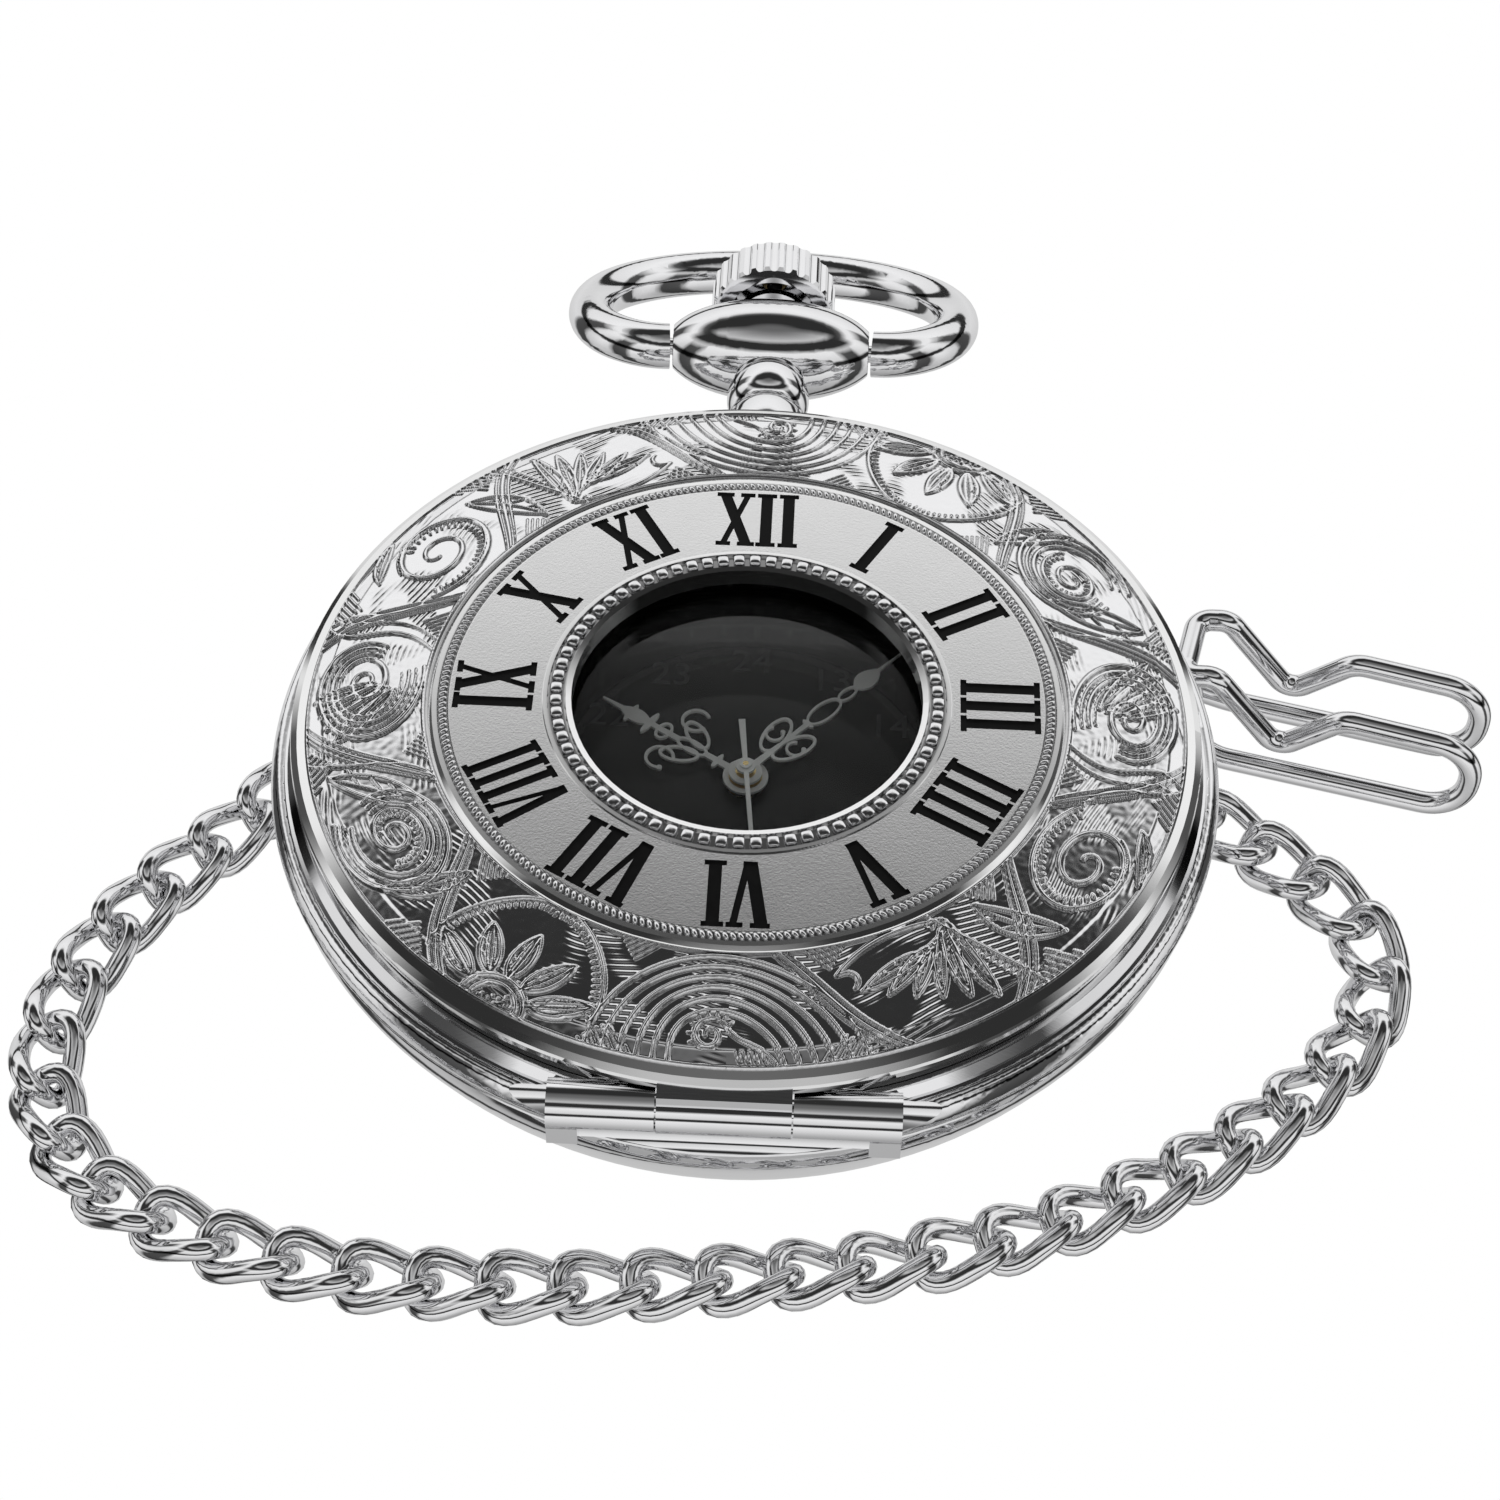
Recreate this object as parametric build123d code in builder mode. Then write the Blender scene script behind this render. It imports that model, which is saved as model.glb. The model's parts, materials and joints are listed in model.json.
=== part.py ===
from build123d import *
import math
import os

# Pocket watch, half hunter, quartz, lying on its back.
# Millimetres. +Z up, 12 o'clock on +Y, the cover's hinge on -Y, table at z = 0.

# ---------------------------------------------------------------- driving dimensions
CASE_R = 23.5  # widest part of the case
COVER_TOP = 14.5  # the cover's flat top
COVER_R = 22.3
WINDOW_R = 8.58
SEAM_Z = 4.2  # back cover meets case band
BAND_TOP = 11.7
DIAL_TOP = 8.0
DIAL_T = 0.4
CRYSTAL_R = 19.4
CRYSTAL_Z = 9.9
CRYSTAL_T = 1.1
CRYSTAL_DOME = 0.5
MOVEMENT_R = 14.0
PENDANT_Z = 7.1  # height of stem, pendant and bow pivot
BOW_Y = 34.3
RUN_GAP = 0.04  # radial clearance of a running fit

HOURS, MINUTES, SECONDS = 10, 7, 29  # the time that the hands show


def save(piece, label):
    """Labels a finished piece and writes it as one STEP file."""
    piece.part.label = label
    export_step(piece.part, f"parts/{label}.step")


def disc(centre, z, r_out, r_in=0.0):
    """A round face, with a hole if asked, as a sketch of its own."""
    with BuildSketch(Plane.XY.offset(z)) as face:
        with Locations(centre):
            Circle(r_out)
            if r_in:
                Circle(r_in, mode=Mode.SUBTRACT)
    return face.sketch


def polar(radius, degrees):
    """A point on a circle about the watch's centre."""
    angle = math.radians(degrees)
    return (radius * math.cos(angle), radius * math.sin(angle))


def dome_height(radius, rise, x):
    """Height above its edge of a shallow dome at a distance from its axis."""
    sphere_r = (radius**2 + rise**2) / (2 * rise)
    return rise - sphere_r + math.sqrt(sphere_r**2 - x**2)


def polar_from(centre, radius, degrees):
    """A point at a distance and a direction from another."""
    x, y = polar(radius, degrees)
    return (centre[0] + x, centre[1] + y)


os.makedirs("parts", exist_ok=True)

# ---------------------------------------------------------------- case band
HINGE_Y, HINGE_Z, HINGE_R = -22.3, 11.5, 1.15
PIN_R = 0.45
KNUCKLE_X = 3.0  # half length of the cover's knuckle
BLOCK_X = 7.9  # outer end of the case's knuckles
BORE_R = 19.7  # holds dial and movement ring
LIP_IN, LIP_OUT, GASKET_OUT = 19.9, 20.4, 20.8
LIP_TOP = 5.0
SEAT_R = CRYSTAL_R + 0.4
NECK_HOLE_R = 0.8

with BuildPart() as case_band:
    with BuildSketch(Plane.XZ):
        with BuildLine():
            Polyline((21.15, SEAM_Z), (GASKET_OUT, SEAM_Z), (GASKET_OUT, LIP_TOP), (BORE_R, LIP_TOP))
            Polyline((BORE_R, LIP_TOP), (BORE_R, DIAL_TOP), (18.6, DIAL_TOP), (18.9, CRYSTAL_Z))
            Polyline((18.9, CRYSTAL_Z), (SEAT_R, CRYSTAL_Z), (SEAT_R, BAND_TOP), (22.25, BAND_TOP))
            Polyline((22.25, BAND_TOP), (22.6, 11.35), (22.5, 11.2), (22.75, 11.15))
            Spline((22.75, 11.15), (CASE_R, 10.35), (23.28, 9.5), tangents=[(1, 0.4), (-0.5, -1)])
            Polyline((23.28, 9.5), (23.18, 9.4), (23.26, 9.3))
            Spline((23.26, 9.3), (22.5, 6.65), (21.15, SEAM_Z), tangents=[(0, -1), (-0.75, -1)])
        make_face()
    revolve(axis=Axis.Z)
    # hinge blocks, a half round on top of a square foot
    with BuildSketch(Plane.YZ.offset(-BLOCK_X)):
        with Locations((HINGE_Y, HINGE_Z)):
            Circle(HINGE_R)
        with Locations((HINGE_Y + 0.05, HINGE_Z - 0.8)):
            Rectangle(2 * HINGE_R - 0.1, 1.6)
    extrude(amount=2 * BLOCK_X)
    # room for the cover's knuckle to turn, with the thumb scoop in front of it
    with BuildSketch(Plane.YZ.offset(-KNUCKLE_X - 0.08)):
        with Locations((HINGE_Y, HINGE_Z)):
            Circle(1.3)
        with Locations((HINGE_Y, HINGE_Z + 0.8)):
            Rectangle(3.3, 1.9)
    extrude(amount=2 * KNUCKLE_X + 0.16, mode=Mode.SUBTRACT)
    with BuildSketch(Plane.YZ.offset(-6.5)):
        with Locations((-23.75, 10.35)):
            Circle(0.95)
    extrude(amount=13, mode=Mode.SUBTRACT)
    # pin bore and the run-outs that the pin is driven in through
    with BuildSketch(Plane.YZ.offset(-BLOCK_X - 1)):
        with Locations((HINGE_Y, HINGE_Z)):
            Circle(PIN_R)
    extrude(amount=2 * BLOCK_X + 2, mode=Mode.SUBTRACT)
    for side in (-1, 1):
        with BuildSketch(Plane.YZ.offset(side * (BLOCK_X + 0.02))):
            with Locations((HINGE_Y, HINGE_Z)):
                Circle(1.25)
        extrude(amount=side * 3.6, mode=Mode.SUBTRACT)
    # stem hole, and the slot of the cover's catch
    with BuildSketch(Plane.XZ.offset(-18)):
        with Locations((0, PENDANT_Z)):
            Circle(NECK_HOLE_R + 0.3)
    extrude(amount=-4, mode=Mode.SUBTRACT)
    with BuildSketch(Plane.XZ.offset(-21)):
        with Locations((0, PENDANT_Z)):
            Circle(NECK_HOLE_R)
    extrude(amount=-4, mode=Mode.SUBTRACT)
    with BuildSketch(Plane.XY.offset(8.05)):
        with Locations((0, 20.65)):
            Rectangle(3.2, 1.35)
    extrude(amount=4, mode=Mode.SUBTRACT)
    with BuildSketch(Plane.XY.offset(8.05)):
        with BuildLine():
            CenterArc((0, 0), 21.25, 34, 61)
            CenterArc((0, 0), 20.0, 34, 61)
            Line(polar(20.0, 34), polar(21.25, 34))
            Line(polar(20.0, 95), polar(21.25, 95))
        make_face()
    extrude(amount=0.95, mode=Mode.SUBTRACT)
save(case_band, "case_band")

# ---------------------------------------------------------------- back cover
THUMB_LIP_AT = 190
BACK_FLAT_R = 12.0
BACK_WALL = 0.9

with BuildPart() as back_cover:
    with BuildSketch(Plane.XZ):
        with BuildLine():
            Line((0, 0), (BACK_FLAT_R, 0))
            Spline((BACK_FLAT_R, 0), (18.0, 1.35), (21.15, SEAM_Z), tangents=[(1, 0), (0.62, 1)])
            Polyline((21.15, SEAM_Z), (LIP_OUT, SEAM_Z), (LIP_OUT, LIP_TOP), (LIP_IN, LIP_TOP))
            Line((LIP_IN, LIP_TOP), (LIP_IN, SEAM_Z - 0.1))
            Spline(
                (LIP_IN, SEAM_Z - 0.1),
                (17.4, 2.1),
                (BACK_FLAT_R - 0.4, BACK_WALL),
                tangents=[(-0.62, -1), (-1, 0)],
            )
            Polyline((BACK_FLAT_R - 0.4, BACK_WALL), (0, BACK_WALL), (0, 0))
        make_face()
    revolve(axis=Axis.Z)
    lip_x, lip_y = polar(21.2, THUMB_LIP_AT)
    with BuildSketch(Plane.XY.offset(SEAM_Z - 0.75)):
        with Locations(Location((lip_x, lip_y), THUMB_LIP_AT + 90)):
            Ellipse(2.1, 1.0)
        Circle(LIP_OUT, mode=Mode.SUBTRACT)
    extrude(amount=0.7)
save(back_cover, "back_cover")

with BuildPart() as back_gasket:
    with BuildSketch(Plane.XY.offset(SEAM_Z + 0.15)):
        Circle(GASKET_OUT)
        Circle(LIP_OUT, mode=Mode.SUBTRACT)
    extrude(amount=LIP_TOP - SEAM_Z - 0.15)
save(back_gasket, "back_gasket")

# ---------------------------------------------------------------- front cover
PLATEAU_R = 15.35
NUMERAL_IN, NUMERAL_OUT = 10.4, 14.3
NUMERAL_WIDEST = 4.3
POCKET_DEPTH = 0.3
ENAMEL_SUNK = 0.12
RIM_IN, RIM_OUT = 21.2, 21.9
CEILING_Z = 13.6
CATCH_X = 1.2

ROMAN = ["XII", "I", "II", "III", "IIII", "V", "VI", "VII", "VIII", "IX", "X", "XI"]
STROKE_W, HAIR_W = 0.62, 0.34
ADVANCE = {"I": 1.18, "V": 2.0, "X": 2.1}
SERIF_H = 0.3


def stroke(x0, y0, x1, y1, width):
    """A straight stroke of a numeral, cut level at both ends."""
    half = width / 2
    return make_face(
        Polyline(
            (x0 - half, y0), (x0 + half, y0), (x1 + half, y1), (x1 - half, y1), close=True
        )
    )


def serif(x, y, width):
    """A flat slab serif that tapers into its stroke."""
    return Pos(x, y) * Rectangle(width, SERIF_H)


def letter(name, x, height):
    """One Roman letter standing on y = 0, as a list of faces."""
    top, foot, head = height, SERIF_H / 2, height - SERIF_H / 2
    if name == "I":
        return [stroke(x, 0, x, top, STROKE_W), serif(x, foot, 1.04), serif(x, head, 1.04)]
    if name == "V":
        return [
            stroke(x - 0.68, top, x - 0.04, 0, STROKE_W),
            stroke(x + 0.68, top, x + 0.08, 0, HAIR_W),
            serif(x - 0.6, head, 0.92),
            serif(x + 0.58, head, 0.78),
            serif(x, foot, 0.62),
        ]
    return [
        stroke(x - 0.66, top, x + 0.66, 0, STROKE_W),
        stroke(x + 0.66, top, x - 0.66, 0, HAIR_W),
        serif(x - 0.6, head, 0.92),
        serif(x + 0.6, head, 0.78),
        serif(x - 0.6, foot, 0.78),
        serif(x + 0.6, foot, 0.92),
    ]


def numeral(text):
    """A Roman numeral centred on x = 0, from y = 0 up to the numerals' height."""
    width = sum(ADVANCE[c] for c in text)
    squeeze = min(1.0, NUMERAL_WIDEST / width)
    x, faces = -width / 2, []
    for c in text:
        faces += letter(c, x + ADVANCE[c] / 2, NUMERAL_OUT - NUMERAL_IN)
        x += ADVANCE[c]
    shape = faces[0]
    for face in faces[1:]:
        shape = shape + face
    return scale(shape, (squeeze, 1, 1))


def all_numerals():
    """The twelve numerals in their places, feet towards the centre."""
    placed = []
    for hour, text in enumerate(ROMAN):
        placed.append(Rot(0, 0, -30 * hour) * Pos(0, NUMERAL_IN) * numeral(text))
    return placed


NUMERAL_SHAPES = all_numerals()

with BuildPart() as front_cover:
    with BuildSketch(Plane.XZ):
        with BuildLine():
            Polyline(
                (WINDOW_R, CEILING_Z), (WINDOW_R, COVER_TOP + 0.05), (WINDOW_R + 0.28, COVER_TOP + 0.1),
                (8.92, COVER_TOP - 0.12), (9.72, COVER_TOP - 0.12), (9.76, COVER_TOP + 0.08),
                (9.96, COVER_TOP + 0.08), (10.0, COVER_TOP), (14.55, COVER_TOP),
                (14.6, COVER_TOP - 0.06), (15.05, COVER_TOP - 0.06), (15.1, COVER_TOP),
                (PLATEAU_R, COVER_TOP), (15.55, 14.36), (15.8, 14.38), (20.6, 13.85),
                (20.72, 13.76), (21.95, 13.4), (22.25, 13.22), (COVER_R, 13.05),
                (COVER_R, 12.75), (22.1, 12.55), (RIM_OUT, 12.5), (RIM_OUT, BAND_TOP + 0.05),
                (RIM_IN, BAND_TOP + 0.05), (RIM_IN, 12.75), (20.9, 12.92), (15.4, CEILING_Z),
                (WINDOW_R, CEILING_Z),
            )
        make_face()
    revolve(axis=Axis.Z)
    with BuildSketch(Plane.XY.offset(COVER_TOP - POCKET_DEPTH)):
        for shape in NUMERAL_SHAPES:
            add(shape)
    extrude(amount=POCKET_DEPTH + 0.1, mode=Mode.SUBTRACT)
    # round notch over the case's knuckles
    with BuildSketch(Plane.YZ.offset(-BLOCK_X - 0.25)):
        with Locations((HINGE_Y, HINGE_Z)):
            Circle(1.3)
    extrude(amount=2 * BLOCK_X + 0.5, mode=Mode.SUBTRACT)
    # window in the rim for the catch's nose
    with BuildSketch(Plane.XY.offset(12.3)):
        with Locations((0, 21.3)):
            Rectangle(2 * CATCH_X + 0.2, 0.7)
    extrude(amount=0.5, mode=Mode.SUBTRACT)
save(front_cover, "front_cover")

with BuildPart() as numerals:
    with BuildSketch(Plane.XY.offset(COVER_TOP - POCKET_DEPTH)):
        for shape in NUMERAL_SHAPES:
            add(shape)
    extrude(amount=POCKET_DEPTH - ENAMEL_SUNK)
save(numerals, "numerals")

LENS_R, LENS_T = 9.8, 0.7
with BuildPart() as cover_window:
    with BuildSketch(Plane.XY.offset(CEILING_Z - LENS_T)):
        Circle(LENS_R)
    extrude(amount=LENS_T)
save(cover_window, "cover_window")

with BuildPart() as window_retainer:
    with BuildSketch(Plane.XY.offset(CEILING_Z - LENS_T)):
        Circle(LENS_R + 0.7)
        Circle(LENS_R, mode=Mode.SUBTRACT)
    extrude(amount=LENS_T)
save(window_retainer, "window_retainer")

with BuildPart() as cover_knuckle:
    with BuildSketch(Plane.YZ.offset(-KNUCKLE_X)):
        with Locations((HINGE_Y, HINGE_Z)):
            Circle(HINGE_R)
        with Locations((-21.95, HINGE_Z + 0.8)):
            Rectangle(1.9, 1.6)
        with Locations((HINGE_Y, HINGE_Z)):
            Circle(PIN_R + RUN_GAP, mode=Mode.SUBTRACT)
    extrude(amount=2 * KNUCKLE_X)
    add(front_cover.part, mode=Mode.SUBTRACT)
cover_knuckle.part = Part(cover_knuckle.part.solids().sort_by(SortBy.VOLUME)[-1].wrapped)
save(cover_knuckle, "cover_knuckle")

with BuildPart() as hinge_pin:
    with BuildSketch(Plane.YZ.offset(-BLOCK_X + 0.1)):
        with Locations((HINGE_Y, HINGE_Z)):
            Circle(PIN_R)
    extrude(amount=2 * BLOCK_X - 0.2)
save(hinge_pin, "hinge_pin")

# ---------------------------------------------------------------- cover springs
CATCH_FROM, CATCH_TO = 38, 93  # angles of the catch spring's anchor and free end
CATCH_IN, CATCH_OUT = 20.55, 20.85
CATCH_LOW = 8.15

with BuildPart() as catch_spring:
    with BuildSketch(Plane.XY.offset(CATCH_LOW)):
        with BuildLine():
            CenterArc((0, 0), CATCH_OUT, CATCH_FROM, CATCH_TO - CATCH_FROM)
            CenterArc((0, 0), CATCH_IN, CATCH_FROM, CATCH_TO - CATCH_FROM)
            Line(polar(CATCH_IN, CATCH_FROM), polar(CATCH_OUT, CATCH_FROM))
            Line(polar(CATCH_IN, CATCH_TO), polar(CATCH_OUT, CATCH_TO))
        make_face()
    extrude(amount=0.75)
    with BuildSketch(Plane.XY.offset(CATCH_LOW)):
        with Locations((0, (CATCH_IN + CATCH_OUT) / 2 + 0.02)):
            Rectangle(2 * CATCH_X - 0.4, CATCH_OUT - CATCH_IN)
    extrude(amount=12.65 - CATCH_LOW)
    with BuildSketch(Plane.XY.offset(12.38)):
        with Locations((0, 21.15)):
            Rectangle(2 * CATCH_X - 0.4, 0.75)
    extrude(amount=0.27)
save(catch_spring, "catch_spring")

with BuildPart() as lift_spring:
    with BuildSketch(Plane.XY.offset(BAND_TOP)):
        with BuildLine():
            CenterArc((0, 0), 21.0, 200, 50)
            CenterArc((0, 0), 20.0, 200, 50)
            Line(polar(20.0, 200), polar(21.0, 200))
            Line(polar(20.0, 250), polar(21.0, 250))
        make_face()
    extrude(amount=0.3)
    with BuildSketch(Plane.XY.offset(BAND_TOP)):
        with Locations(Location(polar(20.5, 246), 246)):
            Rectangle(0.9, 1.2)
    extrude(amount=0.9)
save(lift_spring, "lift_spring")

# ---------------------------------------------------------------- crystal and dial
with BuildPart() as crystal:
    with BuildSketch(Plane.XZ):
        with BuildLine():
            Polyline((0, CRYSTAL_Z), (CRYSTAL_R, CRYSTAL_Z), (CRYSTAL_R, CRYSTAL_Z + CRYSTAL_T))
            ThreePointArc(
                (CRYSTAL_R, CRYSTAL_Z + CRYSTAL_T),
                (CRYSTAL_R / 2, CRYSTAL_Z + CRYSTAL_T + dome_height(CRYSTAL_R, CRYSTAL_DOME, CRYSTAL_R / 2)),
                (0, CRYSTAL_Z + CRYSTAL_T + CRYSTAL_DOME),
            )
            Line((0, CRYSTAL_Z + CRYSTAL_T + CRYSTAL_DOME), (0, CRYSTAL_Z))
        make_face()
    revolve(axis=Axis.Z)
save(crystal, "crystal")

with BuildPart() as crystal_gasket:
    with BuildSketch(Plane.XY.offset(CRYSTAL_Z)):
        Circle(SEAT_R)
        Circle(CRYSTAL_R, mode=Mode.SUBTRACT)
    extrude(amount=CRYSTAL_T)
save(crystal_gasket, "crystal_gasket")

DIAL_R = BORE_R - 0.1
DIAL_LOW = DIAL_TOP - DIAL_T
with BuildPart() as dial:
    with BuildSketch(Plane.XY.offset(DIAL_LOW)):
        Circle(DIAL_R)
        Circle(1.0, mode=Mode.SUBTRACT)
    extrude(amount=DIAL_T)
save(dial, "dial")

# ---------------------------------------------------------------- hands
SECOND_ANGLE = 6 * SECONDS
MINUTE_ANGLE = 6 * MINUTES  # set on the minute mark
HOUR_ANGLE = 30 * (HOURS + MINUTES / 60)
HAND_T = 0.15
HOUR_Z, MINUTE_Z, SECOND_Z = 8.4, 8.8, 9.25
ARBOR_R = 0.15
CENTRE_TUBE_R = 0.31
CANNON_R = 0.52
HOUR_PIPE_R = 0.85


def hoop(x, y, r_x, r_y, width, lean=0):
    """An oval loop of even width, leaning clockwise by an angle."""
    return Pos(x, y) * Rot(0, 0, -lean) * (Ellipse(r_x, r_y) - Ellipse(r_x - width, r_y - width))


def curl(x, y, radius, start, width):
    """An open scroll: three quarters of a ring with a bead on its free end."""
    opening = make_face(Polyline((0, 0), polar(2 * radius, start), polar(2 * radius, start + 80), close=True))
    ring = (Circle(radius) - Circle(radius - width)) - opening
    bead = Pos(*polar(radius - width / 2, start)) * Circle(width * 0.95)
    return Pos(x, y) * (ring + bead)


def leaf(y_low, y_wide, y_high, half):
    """A pointed leaf on the hand's centre line."""
    edges = [
        Spline((0, y_low), (half, y_wide), (0, y_high)),
        Spline((0, y_high), (-half, y_wide), (0, y_low)),
    ]
    return make_face(edges)


def bar(y_low, y_high, width_low, width_high):
    """A straight tapering bar on the hand's centre line."""
    a, b = width_low / 2, width_high / 2
    return make_face(Polyline((-a, y_low), (a, y_low), (b, y_high), (-b, y_high), close=True))


def hand_outline(shapes, hub_r, hole_r, angle):
    """A hand's outline: its shapes joined to a round hub, turned clockwise by angle."""
    outline = Circle(hub_r)
    for shape in shapes:
        outline = outline + shape
    return Rot(0, 0, -angle) * (outline - Circle(hole_r))


hour_shapes = [
    bar(0.6, 2.6, 0.42, 0.3),
    Pos(0, 1.75) * Ellipse(0.5, 0.15),
    hoop(0, 3.35, 0.42, 0.95, 0.16),
    hoop(-0.78, 3.6, 0.55, 1.05, 0.17, -28),
    hoop(0.78, 3.6, 0.55, 1.05, 0.17, 28),
    curl(-1.55, 4.25, 0.78, 215, 0.16),
    curl(1.55, 4.25, 0.78, 245, 0.16),
    bar(4.2, 6.2, 0.34, 0.3),
    hoop(0, 5.15, 0.6, 0.42, 0.15),
    Pos(0, 6.05) * Ellipse(0.78, 0.18),
    leaf(5.9, 6.75, 8.0, 0.42),
    Pos(0, 7.25) * Ellipse(0.62, 0.16),
    bar(7.4, 9.05, 0.34, 0.1),
]
minute_shapes = [
    bar(0.5, 2.5, 0.42, 0.24),
    hoop(-0.62, 2.85, 0.66, 1.3, 0.17, -14),
    hoop(0.62, 2.85, 0.66, 1.3, 0.17, 14),
    curl(-0.72, 2.85, 0.5, 60, 0.13),
    curl(0.72, 2.85, 0.5, 40, 0.13),
    bar(2.3, 4.6, 0.18, 0.3),
    Pos(0, 4.55) * Ellipse(0.36, 0.14),
    hoop(0, 5.75, 0.56, 1.2, 0.14),
    hoop(0, 7.5, 0.34, 0.68, 0.13),
    leaf(8.0, 8.5, 10.0, 0.46),
    bar(9.6, 11.6, 0.2, 0.05),
]
second_shapes = [
    bar(0, 11.0, 0.26, 0.14),
    bar(-3.1, 0, 0.34, 0.22),
]

hour_outline = hand_outline(hour_shapes, 1.15, HOUR_PIPE_R, HOUR_ANGLE)
minute_outline = hand_outline(minute_shapes, 0.85, CANNON_R, MINUTE_ANGLE)
second_outline = hand_outline(second_shapes, 0.5, ARBOR_R, SECOND_ANGLE)

with BuildPart() as hour_hand:
    with BuildSketch(Plane.XY.offset(HOUR_Z)):
        add(hour_outline)
    extrude(amount=HAND_T)
save(hour_hand, "hour_hand")

with BuildPart() as minute_hand:
    with BuildSketch(Plane.XY.offset(MINUTE_Z)):
        add(minute_outline)
    extrude(amount=HAND_T)
save(minute_hand, "minute_hand")

with BuildPart() as second_hand:
    with BuildSketch(Plane.XY.offset(SECOND_Z)):
        add(second_outline)
    extrude(amount=HAND_T)
    extrude(disc((0, 0), SECOND_Z - 0.12, 0.36, ARBOR_R), amount=0.12)
    extrude(disc((0, 0), SECOND_Z + HAND_T, 0.3, ARBOR_R), amount=0.14)
save(second_hand, "second_hand")

# ---------------------------------------------------------------- pendant, crown, bow
ONION_X, ONION_R, ONION_LONG = 5.7, 3.0, 6.3  # an ellipse cut off at its ends
SLEEVE_OUT, SLEEVE_IN = NECK_HOLE_R, 0.5
STEM_R = 0.44
CROWN_Y, CROWN_R, CROWN_L = 37.3, 3.65, 2.75
CROWN_DOME, DOME_R = 1.1, 2.9
HOLLOW_R = 2.6  # the crown clears the pendant when it is pushed
FLUTES = 28
PENDANT_FACE_Y = 37.2

ONION_STEPS = (-ONION_X, -5.0, -3.8, -2.0, 0, 2.0, 3.8, 5.0, ONION_X)


def onion_radius(x):
    """Radius of the pendant's spindle at a distance from its middle."""
    return ONION_R * math.sqrt(1 - (x / ONION_LONG) ** 2)


neck_plane = Plane(origin=(0, 0, PENDANT_Z), x_dir=(1, 0, 0), z_dir=(0, 0, 1))
with BuildPart() as pendant:
    with BuildSketch(neck_plane):
        with BuildLine():
            Polyline((0, 21.9), (2.75, 21.9), (2.75, 24.3), (2.3, 24.75), (1.95, 25.35))
            Spline((1.95, 25.35), (2.5, 27.0), (1.7, 28.6), tangents=[(0.9, 0.5), (-0.9, 0.5)])
            Spline((1.7, 28.6), (2.35, 30.1), (1.6, 31.5), tangents=[(0.9, 0.5), (-0.9, 0.5)])
            Polyline((1.6, 31.5), (1.6, 33.5), (2.2, 33.5), (2.2, PENDANT_FACE_Y), (0, PENDANT_FACE_Y))
            Line((0, PENDANT_FACE_Y), (0, 21.9))
        make_face()
    revolve(axis=Axis((0, 0, PENDANT_Z), (0, 1, 0)))
    with BuildSketch(neck_plane):
        with BuildLine():
            Spline(*[(x, BOW_Y + onion_radius(x)) for x in ONION_STEPS])
            Polyline(
                (ONION_X, BOW_Y + onion_radius(ONION_X)), (ONION_X, BOW_Y), (-ONION_X, BOW_Y),
                (-ONION_X, BOW_Y + onion_radius(ONION_X)),
            )
        make_face()
    revolve(axis=Axis((0, BOW_Y, PENDANT_Z), (1, 0, 0)))
    # the flange sits on the round band
    with BuildSketch(Plane.XY):
        Circle(GASKET_OUT + 0.2)
    extrude(amount=BAND_TOP, mode=Mode.SUBTRACT)
    add(case_band.part, mode=Mode.SUBTRACT)
    with BuildSketch(Plane.XZ.offset(-20)):
        with Locations((0, PENDANT_Z)):
            Circle(SLEEVE_OUT)
    extrude(amount=-20, mode=Mode.SUBTRACT)
    for side in (-1, 1):
        with BuildSketch(Plane.YZ.offset(side * 4.4)):
            with Locations((BOW_Y, PENDANT_Z)):
                Circle(0.5 + RUN_GAP)
        extrude(amount=side * 2, mode=Mode.SUBTRACT)
pendant.part = Part(pendant.part.solids().sort_by(SortBy.VOLUME)[-1].wrapped)
save(pendant, "pendant")

with BuildPart() as pendant_sleeve:
    with BuildSketch(Plane.XZ.offset(-22.3)):
        with Locations((0, PENDANT_Z)):
            Circle(SLEEVE_OUT)
            Circle(SLEEVE_IN, mode=Mode.SUBTRACT)
    extrude(amount=-(PENDANT_FACE_Y - 22.3))
save(pendant_sleeve, "pendant_sleeve")

with BuildPart() as crown:
    with BuildSketch(neck_plane):
        with BuildLine():
            Polyline((HOLLOW_R, CROWN_Y), (CROWN_R - 0.15, CROWN_Y), (CROWN_R, CROWN_Y + 0.2))
            Line((CROWN_R, CROWN_Y + 0.2), (CROWN_R, CROWN_Y + CROWN_L - 0.3))
            Line((CROWN_R, CROWN_Y + CROWN_L - 0.3), (CROWN_R - 0.4, CROWN_Y + CROWN_L))
            Line((CROWN_R - 0.4, CROWN_Y + CROWN_L), (DOME_R, CROWN_Y + CROWN_L))
            ThreePointArc(
                (DOME_R, CROWN_Y + CROWN_L),
                (DOME_R / 2, CROWN_Y + CROWN_L + dome_height(DOME_R, CROWN_DOME, DOME_R / 2)),
                (0, CROWN_Y + CROWN_L + CROWN_DOME),
            )
            Polyline((0, CROWN_Y + CROWN_L + CROWN_DOME), (0, CROWN_Y + 0.75), (HOLLOW_R, CROWN_Y + 0.75))
            Line((HOLLOW_R, CROWN_Y + 0.75), (HOLLOW_R, CROWN_Y))
        make_face()
    revolve(axis=Axis((0, 0, PENDANT_Z), (0, 1, 0)))
    with BuildSketch(Plane.XZ.offset(-CROWN_Y)):
        with Locations((0, PENDANT_Z)):
            with PolarLocations(CROWN_R + 0.12, FLUTES):
                Circle(0.31)
    extrude(amount=-CROWN_L, mode=Mode.SUBTRACT)
    with BuildSketch(Plane.XZ.offset(-CROWN_Y)):
        with Locations((0, PENDANT_Z)):
            Circle(STEM_R)
    extrude(amount=-2.2, mode=Mode.SUBTRACT)
save(crown, "crown")

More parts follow.
